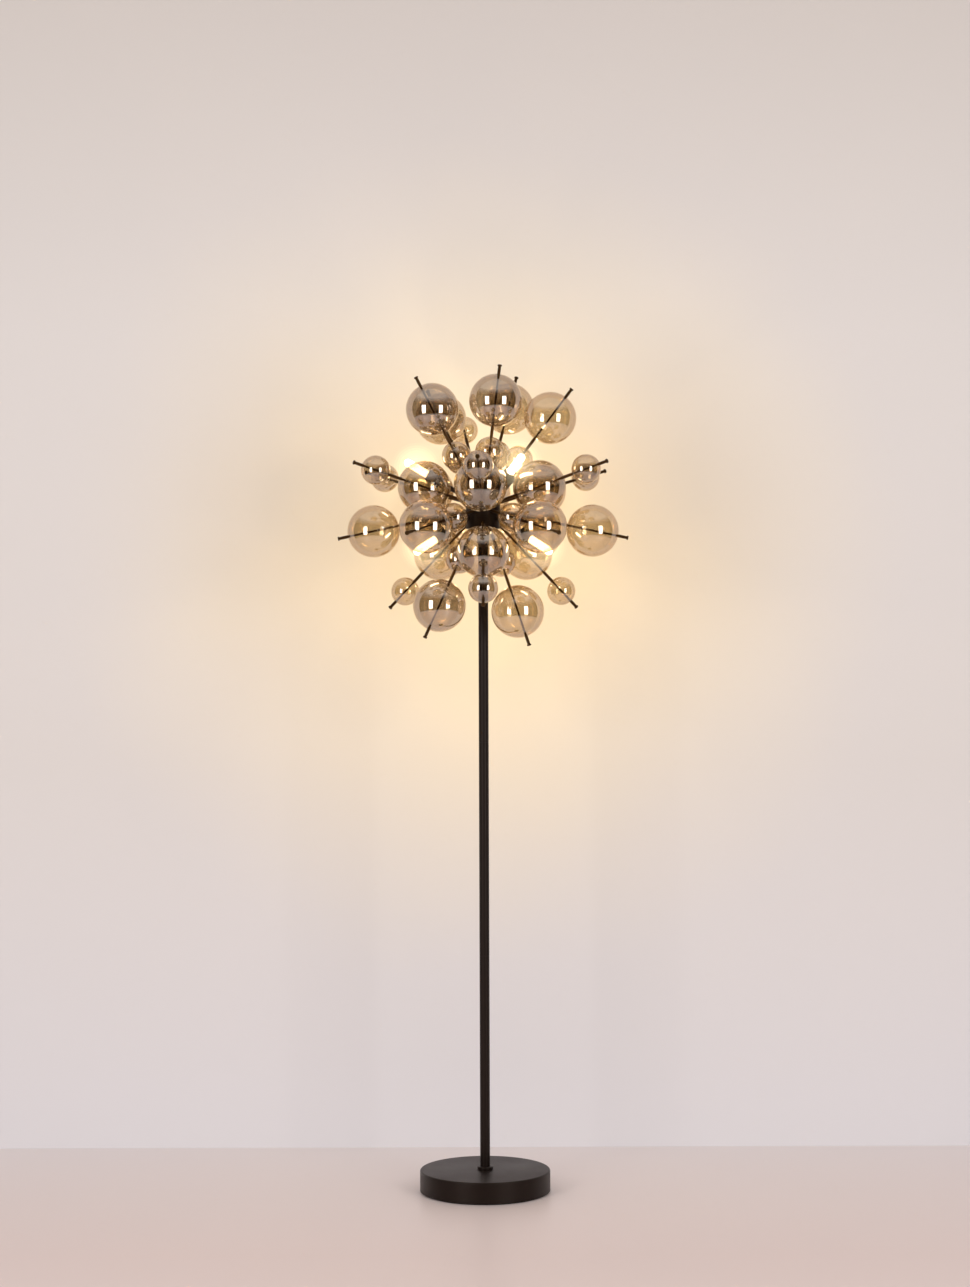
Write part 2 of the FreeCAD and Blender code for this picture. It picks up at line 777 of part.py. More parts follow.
def make_hub_fastening():
    """Threaded tube, washer and nut on the hub's floor, and the dome's screws."""
    hole = "stud_diameter / 2 + stud_clearance"
    length = "stud_grip + hub_floor + washer_thickness + nut_height + nut_thread_out"
    nipple = ring_section("stud_bore / 2", "stud_diameter / 2", "0", length)
    keep(turned("hub_nipple", nipple), f"{HUB_UNDERSIDE} - stud_grip")
    washer = ring_section(hole, "washer_diameter / 2", "0", "washer_thickness")
    keep(turned("hub_washer", washer), HUB_FLOOR_TOP)
    nut = hex_nut("hub_nut", "nut_flats", "nut_height", "stud_diameter + 2 * stud_clearance")
    keep(nut, f"{HUB_FLOOR_TOP} + washer_thickness")
    lip_inner = f"{HUB_INNER_RADIUS} - dome_lip_clearance - dome_lip_wall"
    length = f"{HUB_RADIUS} - hub_screw_sink - ({lip_inner})"
    screw = turned(
        "hub_screw_pattern",
        [
            ("0", "0"),
            ("hub_screw_diameter / 2 - rod_clearance", "0"),
            ("hub_screw_diameter / 2 - rod_clearance", length),
            ("0", length),
        ],
    )
    azimuths = screw_azimuths()
    places = [screw_placement(azimuth, worth(lip_inner)) for azimuth in azimuths]
    names = [f"hub_screw_{index}" for index in range(1, len(azimuths) + 1)]
    copies = [copy_at(screw, name, place) for name, place in zip(names, places)]
    keep_group("hub_screws", copies)


# ------------------------------------------------- rods, sleeves and end knobs


def rod_start(ray):
    """Where a rod begins, set back a little from the inside of the hub's wall."""
    floor = worth("hub_depth - hub_floor")
    return hub_skin(ray, worth(HUB_INNER_RADIUS), floor) + worth("rod_set_back")


def rod_end():
    """Where a rod ends, at the bottom of the hole in its knob."""
    return worth("rod_reach - knob_length + knob_hole_depth - sleeve_end_gap")


def make_rods(name, rays):
    """A group of plain rods on their rays."""
    rods = []
    for index, ray in enumerate(rays, start=1):
        rod = doc.addObject("Part::Cylinder", f"{name}_{index}")
        bind(rod, "Radius", "rod_diameter / 2")
        rod.Height = rod_end() - rod_start(ray)
        rod.Placement = on_ray(ray, rod_start(ray))
        rods.append(rod)
    keep_group(name, rods)


def make_knobs():
    """Domed end knobs, blind from the inside, one on each rod."""
    outer = "knob_diameter / 2"
    hole = "rod_diameter / 2 + rod_clearance"
    knob = turned(
        "knob_pattern",
        [
            ("0", "knob_hole_depth"),
            (hole, "knob_hole_depth"),
            (hole, "0"),
            (outer, "0"),
            (outer, "knob_length"),
            ("0", "knob_length"),
        ],
    )
    round_edges(knob, knob.Tip, "knob_edge_radius", circle_at(outer, "knob_length"))
    reach = worth("rod_reach - knob_length")
    keep_group("rod_knobs", copies_on_rays("knob", knob, ROD_RAYS, reach))


def pole(globe):
    """From a globe's centre to the plane of the rim of its rod hole."""
    return worth(f"sqrt(({globe} / 2) ^ 2 - (globe_hole / 2) ^ 2)")


def make_sleeves():
    """Spacer sleeves on the rods: up to the first globe, between two, and outside."""
    section = doc.addObject("Sketcher::SketchObject", "sleeve_section")
    draw_circle(section, "sleeve_diameter")
    draw_circle(section, "rod_diameter + 2 * sleeve_clearance")
    gap = worth("sleeve_end_gap")
    large = pole("large_globe")
    small = pole("small_globe")
    knob = worth("rod_reach - knob_length")
    near_small = worth(NEAR_SMALL_REACH)
    far_large = worth(FAR_LARGE_REACH)
    near_large = worth(NEAR_LARGE_REACH)
    far_small = worth(FAR_SMALL_REACH)
    spans = {"inner_sleeves": [], "middle_sleeves": [], "outer_sleeves": []}
    for ray in ROD_RAYS:
        start = sleeve_start(ray)
        if ray in LARGE_OUTSIDE_RAYS:
            spans["inner_sleeves"].append((ray, start, near_small - small))
            spans["middle_sleeves"].append((ray, near_small + small, far_large - large))
            spans["outer_sleeves"].append((ray, far_large + large, knob))
        elif ray in SMALL_OUTSIDE_RAYS:
            spans["inner_sleeves"].append((ray, start, near_large - large))
            spans["middle_sleeves"].append((ray, near_large + large, far_small - small))
            spans["outer_sleeves"].append((ray, far_small + small, knob))
        else:
            spans["inner_sleeves"].append((ray, start, far_small - small))
            spans["outer_sleeves"].append((ray, far_small + small, knob))
    for name, sleeves in spans.items():
        members = []
        for index, (ray, low, high) in enumerate(sleeves, start=1):
            sleeve = doc.addObject("Part::Extrusion", f"{name}_{index}")
            sleeve.Base = section
            sleeve.DirMode = "Custom"
            sleeve.Dir = UP
            sleeve.LengthFwd = high - low - 2 * gap
            sleeve.Solid = True
            sleeve.FaceMakerClass = "Part::FaceMakerBullseye"
            sleeve.Placement = on_ray(ray, low + gap)
            members.append(sleeve)
        keep_group(name, members)


def sleeve_start(ray):
    """Where a sleeve just clears the outside of the hub, also on a slant."""
    elevation = math.radians(ray[1])
    reach = hub_skin(ray, worth(HUB_RADIUS), worth("hub_depth"))
    half = worth("sleeve_diameter / 2")
    if elevation >= 0:
        return reach
    through_wall = reach * math.cos(elevation) > worth(HUB_RADIUS) - 1e-6
    slant = -elevation if through_wall else math.pi / 2 + elevation
    return reach + half * math.tan(slant)


# ---------------------------------------------------------------- glass globes


def make_globe(name, diameter, wall):
    """Thin blown ball with a small hole at each end of its rod axis."""
    body = new_body(name)
    sketch = new_sketch(body, name + "_section", "XZ_Plane")
    hole = worth("globe_hole / 2")
    outer = worth(diameter) / 2
    inner = outer - worth(wall)
    rise = math.sqrt(outer**2 - hole**2)
    inner_rise = math.sqrt(inner**2 - hole**2)
    top = FreeCAD.Vector(hole, rise, 0)
    inner_top = FreeCAD.Vector(hole, inner_rise, 0)
    bottom = FreeCAD.Vector(hole, -rise, 0)
    inner_bottom = FreeCAD.Vector(hole, -inner_rise, 0)
    half = math.atan2(rise, hole)
    inner_half = math.atan2(inner_rise, hole)
    sketch.addGeometry(Part.ArcOfCircle(Part.Circle(CENTRE, UP, outer), -half, half))
    sketch.addGeometry(Part.LineSegment(top, inner_top))
    sketch.addGeometry(Part.ArcOfCircle(Part.Circle(CENTRE, UP, inner), -inner_half, inner_half))
    sketch.addGeometry(Part.LineSegment(inner_bottom, bottom))
    joined = [(0, 2, 1, 1), (1, 2, 2, 2), (2, 1, 3, 1), (3, 2, 0, 1), (0, 3, -1, 1), (2, 3, -1, 1)]
    for ends in joined:
        sketch.addConstraint(Sketcher.Constraint("Coincident", *ends))
    for line in (1, 3):
        sketch.addConstraint(Sketcher.Constraint("Vertical", line))
        dimension(sketch, "DistanceX", (-1, 1, line, 1), "globe_hole / 2")
    dimension(sketch, "Radius", (0,), f"{diameter} / 2")
    dimension(sketch, "Radius", (2,), f"{diameter} / 2 - {wall}")
    spin(body, sketch)
    return body


def make_globes():
    """Every large globe as one node and every small globe as another."""
    large = make_globe("large_globe_pattern", "large_globe", "large_wall")
    small = make_globe("small_globe_pattern", "small_globe", "small_wall")
    far_reach = worth(FAR_LARGE_REACH)
    near_reach = worth(NEAR_LARGE_REACH)
    copies = copies_on_rays("far_large", large, LARGE_OUTSIDE_RAYS, far_reach)
    copies += copies_on_rays("near_large", large, SMALL_OUTSIDE_RAYS, near_reach)
    keep_group("large_globes", copies)
    far_reach = worth(FAR_SMALL_REACH)
    near_reach = worth(NEAR_SMALL_REACH)
    outside = SMALL_OUTSIDE_RAYS + CROWN_SINGLE_RAYS
    copies = copies_on_rays("far_small", small, outside, far_reach)
    copies += copies_on_rays("near_small", small, LARGE_OUTSIDE_RAYS, near_reach)
    keep_group("small_globes", copies)


# -------------------------------------------------- lamp arms, cups and holders


def arm_start(ray):
    """Where a lamp arm begins, set back from the inside of the hub's wall."""
    floor = worth("hub_depth - hub_floor")
    return hub_skin(ray, worth(HUB_INNER_RADIUS), floor) + worth("rod_set_back")


def make_arms():
    """Hollow arms with a shoulder and a thinner threaded neck for the cup."""
    arms = []
    for index, ray in enumerate(LAMP_RAYS, start=1):
        start = arm_start(ray)
        arm = turned(
            f"lamp_arm_{index}",
            [
                ("arm_bore / 2", f"{start}"),
                ("arm_diameter / 2", f"{start}"),
                ("arm_diameter / 2", "cup_reach"),
                ("arm_neck / 2", "cup_reach"),
                ("arm_neck / 2", ARM_END),
                ("arm_bore / 2", ARM_END),
            ],
        )
        arm.Placement = on_ray(ray)
        arms.append(arm)
    keep_group("lamp_arms", arms)


def make_cups():
    """Spun cups that hide the lamp holders, open at the front."""
    inner = "cup_diameter / 2 - cup_wall"
    outer = "cup_diameter / 2"
    hole = "arm_neck / 2 + arm_clearance"
    cup = turned(
        "cup_pattern",
        [
            (hole, "0"),
            (outer, "0"),
            (outer, "cup_length"),
            (inner, "cup_length"),
            (inner, "cup_wall"),
            (hole, "cup_wall"),
        ],
    )
    rounded = round_edges(cup, cup.Tip, "cup_edge_radius", circle_at(outer, "0"))
    round_edges(cup, rounded, "cup_edge_radius - cup_wall", circle_at(inner, "cup_wall"))
    keep_group("lamp_cups", copies_on_rays("cup", cup, LAMP_RAYS, worth("cup_reach")))
    hole = "arm_neck + 2 * arm_clearance"
    nut = hex_nut("arm_nut_pattern", "arm_nut_flats", "arm_nut_height", hole)
    reach = worth("cup_reach + cup_wall")
    keep_group("cup_nuts", copies_on_rays("cup_nut", nut, LAMP_RAYS, reach))


def slot_corners(length, width):
    """Corners of a rectangle centred on the sketch's origin."""
    across = f"{length} / 2"
    up = f"{width} / 2"
    return [(f"-{across}", f"-{up}"), (across, f"-{up}"), (across, up), (f"-{across}", up)]


def make_holders():
    """Ceramic two-pin lamp holders with a recess and two pin slots in the face."""
    outer = "holder_diameter / 2"
    body = turned(
        "holder_pattern",
        [
            ("0", "-holder_length"),
            (f"{outer} - holder_chamfer", "-holder_length"),
            (outer, "holder_chamfer - holder_length"),
            (outer, "-holder_chamfer"),
            (f"{outer} - holder_chamfer", "0"),
            ("0", "0"),
        ],
    )
    recess = new_sketch(body, "bulb_recess", "XY_Plane")
    draw_outline(recess, slot_corners("holder_recess_length", "holder_recess_width"))
    pocket_down(body, recess, "holder_recess_depth")
    slots = new_sketch(body, "pin_slots", "XY_Plane")
    draw_circle(slots, "pin_slot_diameter", "pin_spacing / 2", "0")
    draw_circle(slots, "pin_slot_diameter", "-pin_spacing / 2", "0")
    pocket_down(body, slots, "pin_slot_depth")
    face = worth(HOLDER_FACE)
    keep_group("lampholders", copies_on_rays("lampholder", body, LAMP_RAYS, face))
    tubes = [contact_tube(index, side) for index, side in enumerate((1, -1), start=1)]
    members = []
    for index, ray in enumerate(LAMP_RAYS, start=1):
        for tube in tubes:
            name = f"{tube.Name}_{index}"
            members.append(copy_at(tube, name, on_ray(ray, contact_floor())))
    keep_group("holder_contacts", members)


def contact_floor():
    """Where the contacts stand, at the bottom of the pin slots."""
    return worth(f"{HOLDER_FACE} - pin_slot_depth")


def contact_tube(index, side):
    """One of the two sprung contact tubes of a holder."""
    tube = new_body(f"contact_tube_{index}")
    sketch = new_sketch(tube, f"contact_tube_{index}_ring", "XY_Plane")
    centre = f"{side} * pin_spacing / 2"
    draw_circle(sketch, "pin_slot_diameter - 2 * contact_gap", centre, "0")
    draw_circle(sketch, "pin_slot_diameter - 2 * contact_gap - 2 * contact_wall", centre, "0")
    pad_up(tube, sketch, "contact_length")
    return tube


# ----------------------------------------------------------------------- bulbs


def bulb_glass_pattern():
    """Capsule envelope, open behind and domed in front, with an even wall."""
    body = new_body("bulb_glass_pattern")
    sketch = new_sketch(body, "bulb_glass_section", "XZ_Plane")
    outer = worth("bulb_diameter / 2")
    inner = outer - worth("bulb_wall")
    shoulder = worth("bulb_length - bulb_diameter / 2")
    middle = FreeCAD.Vector(0, shoulder, 0)
    quarter = math.pi / 2
    sketch.addGeometry(
        Part.LineSegment(FreeCAD.Vector(inner, 0, 0), FreeCAD.Vector(outer, 0, 0))
    )
    sketch.addGeometry(
        Part.LineSegment(FreeCAD.Vector(outer, 0, 0), FreeCAD.Vector(outer, shoulder, 0))
    )
    sketch.addGeometry(Part.ArcOfCircle(Part.Circle(middle, UP, outer), 0, quarter))
    sketch.addGeometry(
        Part.LineSegment(
            FreeCAD.Vector(0, shoulder + outer, 0), FreeCAD.Vector(0, shoulder + inner, 0)
        )
    )
    sketch.addGeometry(Part.ArcOfCircle(Part.Circle(middle, UP, inner), 0, quarter))
    sketch.addGeometry(
        Part.LineSegment(FreeCAD.Vector(inner, shoulder, 0), FreeCAD.Vector(inner, 0, 0))
    )
    joined = [(0, 2, 1, 1), (1, 2, 2, 1), (2, 2, 3, 1), (3, 2, 4, 2), (4, 1, 5, 1), (5, 2, 0, 1)]
    joined += [(2, 3, 4, 3)]
    for ends in joined:
        sketch.addConstraint(Sketcher.Constraint("Coincident", *ends))
    sketch.addConstraint(Sketcher.Constraint("PointOnObject", 2, 3, -2))
    sketch.addConstraint(Sketcher.Constraint("PointOnObject", 0, 1, -1))
    for line in (1, 3, 5):
        sketch.addConstraint(Sketcher.Constraint("Vertical", line))
    sketch.addConstraint(Sketcher.Constraint("Horizontal", 0))
    sketch.addConstraint(Sketcher.Constraint("PointOnObject", 3, 1, -2))
    sketch.addConstraint(Sketcher.Constraint("Horizontal", 2, 1, 2, 3))
    dimension(sketch, "Radius", (2,), "bulb_diameter / 2")
    dimension(sketch, "Radius", (4,), "bulb_diameter / 2 - bulb_wall")
    dimension(sketch, "DistanceY", (-1, 1, 2, 3), "bulb_length - bulb_diameter / 2")
    sketch.addConstraint(Sketcher.Constraint("Horizontal", 4, 1, 4, 3))
    spin(body, sketch)
    return body


def bulb_base_pattern():
    """Ceramic base: a spigot in the glass, a collar and a flat tongue behind."""
    outer = "bulb_diameter / 2"
    spigot = "bulb_diameter / 2 - bulb_wall - bulb_spigot_clearance"
    spigot_end = "bulb_collar_length + bulb_spigot_length"
    body = turned(
        "bulb_base_pattern",
        [
            ("0", "0"),
            (outer, "0"),
            (outer, "bulb_collar_length"),
            (spigot, "bulb_collar_length"),
            (spigot, spigot_end),
            ("0", spigot_end),
        ],
    )
    sketch = new_sketch(body, "tongue", "XY_Plane")
    draw_outline(sketch, slot_corners("tongue_length", "tongue_width"))
    tongue = pad_up(body, sketch, "tongue_depth")
    tongue.Reversed = True
    return body


def bulb_pin_patterns():
    """The two contact pins under the tongue."""
    pins = []
    for index, side in enumerate((1, -1), start=1):
        pin = new_body(f"bulb_pin_pattern_{index}")
        sketch = new_sketch(pin, f"bulb_pin_{index}_ring", "XY_Plane")
        draw_circle(sketch, "pin_diameter", f"{side} * pin_spacing / 2", "0")
        pad_up(pin, sketch, "pin_length")
        pins.append(pin)
    return pins


def make_bulbs():
    """Six bulbs, each of an envelope, a base and a pair of pins."""
    glass = bulb_glass_pattern()
    base = bulb_base_pattern()
    pins = bulb_pin_patterns()
    seat = worth(BULB_SEAT)
    glass_start = worth(BULB_GLASS_START)
    pin_start = worth(f"{BULB_SEAT} - tongue_depth - pin_length")
    for index, ray in enumerate(LAMP_RAYS, start=1):
        envelope = copy_at(glass, f"envelope_{index}", on_ray(ray, glass_start))
        keep_group(f"bulb_glass_{index}", [envelope])
        keep_group(f"bulb_base_{index}", [copy_at(base, f"base_{index}", on_ray(ray, seat))])
        pair = [copy_at(pin, f"{pin.Name}_{index}", on_ray(ray, pin_start)) for pin in pins]
        keep_group(f"bulb_pins_{index}", pair)


# ---------------------------------------------------------------------- wiring


def make_terminal_block():
    """Round block at the centre of the hub, where cable and leads meet."""
    outer = "block_diameter / 2"
    body = turned(
        "terminal_block",
        [
            ("0", "0"),
            (f"{outer} - block_chamfer", "0"),
            (outer, "block_chamfer"),
            (outer, "block_height - block_chamfer"),
            (f"{outer} - block_chamfer", "block_height"),
            ("0", "block_height"),
        ],
    )
    keep(body, "hub_height - block_height / 2")


def make_leads():
    """One straight lead from the block through each arm to its holder."""
    start = worth("block_diameter / 2 + lead_gap")
    leads = []
    for index, ray in enumerate(LAMP_RAYS, start=1):
        lead = doc.addObject("Part::Cylinder", f"lead_{index}")
        bind(lead, "Radius", "lead_diameter / 2")
        begin = block_skin(ray, start)
        lead.Height = worth(f"{ARM_END} - lead_gap") - begin
        lead.Placement = on_ray(ray, begin)
        leads.append(lead)
    keep_group("lamp_leads", leads)


def block_skin(ray, radius):
    """Where a lead clears the side of the terminal block on a slant."""
    elevation = abs(math.radians(ray[1]))
    return radius / math.cos(elevation) + worth("lead_diameter / 2") * math.tan(elevation)


def make_supply_cable():
    """Cable from the channel in the foot, round one bend and up to the block."""
    inlet = worth("cable_inlet_reach")
    level = worth("gland_height")
    bend = worth("cable_bend_radius")
    block = worth("hub_height - block_height / 2 - lead_gap")
    start = FreeCAD.Vector(0, inlet, level)
    bend_start = FreeCAD.Vector(0, bend, level)
    slant = bend * (1 - math.sqrt(0.5))
    bend_middle = FreeCAD.Vector(0, slant, level + slant)
    bend_end = FreeCAD.Vector(0, 0, level + bend)
    end = FreeCAD.Vector(0, 0, block)
    edges = [
        Part.LineSegment(start, bend_start).toShape(),
        Part.Arc(bend_start, bend_middle, bend_end).toShape(),
        Part.LineSegment(bend_end, end).toShape(),
    ]
    spine = Part.Wire(edges)
    circle = Part.Circle(start, FreeCAD.Vector(0, 1, 0), worth("cable_diameter / 2"))
    section = Part.Wire([circle.toShape()])
    cable = doc.addObject("Part::Feature", "supply_cable")
    cable.Label = "supply_cable"
    cable.Shape = spine.makePipeShell([section], True, False)
    pieces.append(cable)


# -------------------------------------------------------------------- assembly

make_base_pad()
make_base_cover()
make_base_weight()
make_cord_gland()
make_foot_fastening()
make_foot_collar()
make_column()
make_hub_shell()
make_hub_dome()
make_hub_fastening()
make_terminal_block()
make_supply_cable()
make_leads()
make_rods("crown_rods", CROWN_RAYS + CROWN_SINGLE_RAYS)
make_rods("upper_rods", UPPER_RAYS)
make_rods("lower_rods", LOWER_RAYS)
make_rods("under_rods", UNDER_RAYS)
make_rods("bottom_rods", BOTTOM_RAYS)
make_sleeves()
make_knobs()
make_globes()
make_arms()
make_cups()
make_holders()
make_bulbs()
doc.recompute()

# -------------------------------------------------------------- test and write

for thing in doc.Objects:
    if "Invalid" in thing.State or "Error" in thing.State:
        raise ValueError(f"{thing.Name} did not recompute: {thing.State}")
for piece in pieces:
    if piece.Shape.isNull() or not piece.Shape.isValid() or not piece.Shape.Solids:
        raise ValueError(f"{piece.Label} has no valid solid")

os.makedirs("parts", exist_ok=True)
for piece in pieces:
    piece.Shape.exportStep(f"parts/{piece.Label}.step")
print(len(pieces), "pieces written")
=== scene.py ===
"""Finishes, glass and fine pieces of a floor lamp with a head of blown glass globes."""

import json
import math

import bmesh
import bpy
from mathutils import Matrix, Vector

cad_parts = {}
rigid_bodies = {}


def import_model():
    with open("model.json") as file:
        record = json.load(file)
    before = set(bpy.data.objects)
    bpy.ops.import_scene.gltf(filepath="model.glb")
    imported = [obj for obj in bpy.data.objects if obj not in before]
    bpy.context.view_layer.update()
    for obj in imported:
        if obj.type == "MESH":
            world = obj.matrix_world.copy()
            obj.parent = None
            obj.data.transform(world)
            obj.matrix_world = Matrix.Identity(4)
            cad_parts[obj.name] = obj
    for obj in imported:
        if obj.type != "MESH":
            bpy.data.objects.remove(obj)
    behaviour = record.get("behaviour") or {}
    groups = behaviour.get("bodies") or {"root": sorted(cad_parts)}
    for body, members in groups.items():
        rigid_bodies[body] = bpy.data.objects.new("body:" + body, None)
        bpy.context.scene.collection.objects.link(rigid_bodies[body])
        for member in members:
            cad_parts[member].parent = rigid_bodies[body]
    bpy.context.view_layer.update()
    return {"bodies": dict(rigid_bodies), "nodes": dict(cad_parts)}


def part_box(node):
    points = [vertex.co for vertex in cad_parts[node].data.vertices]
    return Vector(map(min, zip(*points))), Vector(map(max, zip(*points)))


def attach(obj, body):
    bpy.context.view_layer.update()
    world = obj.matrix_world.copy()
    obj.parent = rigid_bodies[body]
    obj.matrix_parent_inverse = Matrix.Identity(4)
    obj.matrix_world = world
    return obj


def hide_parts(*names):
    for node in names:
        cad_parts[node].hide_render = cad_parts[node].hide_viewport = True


bl_info = {
    "name": "Globe floor lamp",
    "version": (1, 0, 0),
    "blender": (4, 5, 0),
    "location": "3D View > Sidebar > Lamp",
    "description": "Glass globes, coated metal, lit bulbs and a plain studio for a floor lamp",
    "category": "Object",
}

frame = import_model()
MM = 0.001

# Points of a CAD node that are closer than this are one point.
MERGE_DISTANCE = 0.001 * MM
# A point of a half section with a smaller radius than this lies on the axis.
ON_AXIS = 1e-9
# Nearly all values of a noise lie in this range.
MOST_NOISE = (0.3, 0.7)
# The draw that decides how smoky each globe is.
GLOBE_SEED = 57678
# From the lamp's axis to the wall behind it.
WALL_DISTANCE = 413 * MM

# ------------------------------------------------------- places read from the frame


def centre_of_hub():
    """The point that every rod and lamp arm points at: the centre of the dome's curve."""
    low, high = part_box("hub_dome")
    return Vector((0, 0, high.z - (high.x - low.x) / 2))


HUB = centre_of_hub()


def islands(node):
    """The separate solids of a CAD node, each as a list of its points."""
    shape = bmesh.new()
    shape.from_mesh(frame["nodes"][node].data)
    bmesh.ops.remove_doubles(shape, verts=shape.verts, dist=MERGE_DISTANCE)
    shape.verts.index_update()
    waiting = [True] * len(shape.verts)
    found = []
    for first in shape.verts:
        if not waiting[first.index]:
            continue
        waiting[first.index] = False
        reached = [first]
        points = []
        while reached:
            corner = reached.pop()
            points.append(corner.co.copy())
            for edge in corner.link_edges:
                other = edge.other_vert(corner)
                if waiting[other.index]:
                    waiting[other.index] = False
                    reached.append(other)
        found.append(points)
    shape.free()
    return found


class Station:
    """Where one solid lies on its ray out of the hub."""

    def __init__(self, points):
        arms = [point - HUB for point in points]
        self.ray = (sum(arms, Vector()) / len(arms)).normalized()
        reaches = [arm.dot(self.ray) for arm in arms]
        self.near = min(reaches)
        self.far = max(reaches)
        self.radius = max((arm - self.ray * reach).length for arm, reach in zip(arms, reaches))

    @property
    def length(self):
        return self.far - self.near

    @property
    def middle(self):
        return (self.near + self.far) / 2


def stations(*nodes):
    """The stations of every solid in these nodes, in a steady order."""
    found = [Station(points) for node in nodes for points in islands(node)]
    return sorted(found, key=station_order)


def station_order(station):
    """From low to high, then round the hub, then outwards."""
    ray = station.ray
    return round(ray.z, 3), round(ray.x, 3), round(ray.y, 3), station.near


# ------------------------------------------------------------------ sizes and colours


class LampSizes(bpy.types.PropertyGroup):
    large_wall: bpy.props.FloatProperty(
        name="Large globe wall",
        description="Thickness of the glass of the large globes",
        default=1.5 * MM,
        unit="LENGTH",
    )
    small_wall: bpy.props.FloatProperty(
        name="Small globe wall",
        description="Thickness of the glass of the small globes",
        default=1.2 * MM,
        unit="LENGTH",
    )
    cover_wall: bpy.props.FloatProperty(
        name="Foot wall",
        description="Thickness of the spun cover of the foot",
        default=1.5 * MM,
        unit="LENGTH",
    )
    cup_wall: bpy.props.FloatProperty(
        name="Cup wall",
        description="Thickness of the spun cups round the lamp holders",
        default=1.2 * MM,
        unit="LENGTH",
    )
    coat_grain: bpy.props.FloatProperty(
        name="Coat grain",
        description="Size of the grains of the powder coat",
        default=0.9 * MM,
        unit="LENGTH",
    )
    bulb_strength: bpy.props.FloatProperty(
        name="Bulb strength",
        description="How brightly the glass of the bulbs glows",
        default=8,
        min=0,
    )
    bulb_power: bpy.props.FloatProperty(
        name="Bulb power",
        description="Power of the light that each bulb throws on what is near",
        default=0.55,
        unit="POWER",
    )
    halo_reach: bpy.props.FloatProperty(
        name="Halo reach",
        description="How far the glow in the air reaches round a bulb",
        default=48 * MM,
        unit="LENGTH",
    )
    halo_strength: bpy.props.FloatProperty(
        name="Halo strength",
        description="How brightly the air glows in front of a bulb, where 1 is white",
        default=3.2,
        min=0,
    )
    lamp_power: bpy.props.FloatProperty(
        name="Soft lamp power",
        description="Power of each of the two soft lamps of the studio",
        default=30,
        unit="POWER",
    )
    ambient: bpy.props.FloatProperty(
        name="Room light",
        description="Strength of the even light from all round",
        default=0.6,
        min=0,
    )


def colour_property(name, description, default):
    """A colour that a user may change, as linear red, green and blue."""
    return bpy.props.FloatVectorProperty(
        name=name, description=description, default=default, subtype="COLOR", size=3, min=0, max=1
    )


class LampColours(bpy.types.PropertyGroup):
    coat: colour_property(
        "Coat", "Powder coat of the foot, column, hub and cups", (0.0060, 0.0024, 0.0012)
    )
    rod: colour_property("Rods", "Burnished finish of the rods and knobs", (0.050, 0.024, 0.006))
    sheen: colour_property("Sheen", "What the coated metal mirrors", (1.0, 0.86, 0.79))
    glass: colour_property(
        "Glass", "What the glass lets through, looked at squarely", (0.936, 0.888, 0.79)
    )
    glass_smoke: colour_property(
        "Smoky glass", "What the smokiest globes let through", (0.74, 0.69, 0.645)
    )
    glass_edge: colour_property(
        "Glass edge", "What the glass lets through near its outline", (0.66, 0.53, 0.40)
    )
    film: colour_property(
        "Film", "What the metal film on the glass mirrors", (0.95, 0.885, 0.80)
    )
    bulb: colour_property("Bulb", "Frosted glass of the bulbs", (0.9, 0.85, 0.75))
    lit: colour_property("Lit bulb", "Glow of the bulbs' glass", (1.0, 0.84, 0.58))
    bulb_edge: colour_property(
        "Bulb edge", "What the bulbs let through near their outline", (1.0, 0.94, 0.82)
    )
    glow: colour_property("Glow", "Light that the bulbs throw", (1.0, 0.72, 0.40))
    halo: colour_property("Halo", "Glow in the air round the bulbs", (1.0, 0.82, 0.48))
    brass: colour_property("Brass", "Threaded tubes and contacts", (0.72, 0.52, 0.22))
    steel: colour_property("Steel", "Washers, nuts and pins", (0.55, 0.55, 0.54))
    screw: colour_property("Screws", "Blackened steel of the small screws", (0.08, 0.07, 0.065))
    iron: colour_property("Iron", "Cast weight in the foot", (0.09, 0.085, 0.08))
    rubber: colour_property("Rubber", "Ring under the foot", (0.018, 0.018, 0.018))
    ceramic: colour_property("Ceramic", "Lamp holders and bulb bases", (0.80, 0.77, 0.70))
    plastic: colour_property("Plastic", "Terminal block and leads", (0.75, 0.74, 0.72))
    wall: colour_property("Wall", "Backdrop behind the lamp", (0.715, 0.68, 0.665))
    # Painted light: the warm glow of the bulbs, painted on the backdrop round the head of the
    # lamp.
    painted_bulb_glow: colour_property(
        "Warm wall", "Backdrop where the bulbs light it", (0.955, 0.82, 0.575)
    )
    # Painted shade: the backdrop a little darker high up.
    painted_upper_shade: colour_property("Upper wall", "Backdrop high up", (0.67, 0.62, 0.59))
    # Painted light: the backdrop lighter and cooler near the floor.
    painted_low_light: colour_property("Lower wall", "Backdrop near the floor", (0.755, 0.735, 0.76))
    floor: colour_property("Floor", "Floor under the lamp", (0.72, 0.60, 0.575))
    # Painted light: the floor a little lighter where it meets the wall.
    painted_far_floor_light: colour_property("Far floor", "Floor where it meets the wall", (0.79, 0.72, 0.71))
    room: colour_property("Room", "Even light from all round", (1.0, 0.97, 0.96))
    screen: colour_property("Screen", "Dark cloth that only mirrors see", (0.012, 0.010, 0.009))
    soft_lamp: colour_property("Soft lamps", "Light of the two soft lamps", (1.0, 0.96, 0.93))


def sizes():
    return bpy.context.scene.lamp_sizes


def colours():
    return bpy.context.scene.lamp_colours


# ------------------------------------------------------------------- shader building


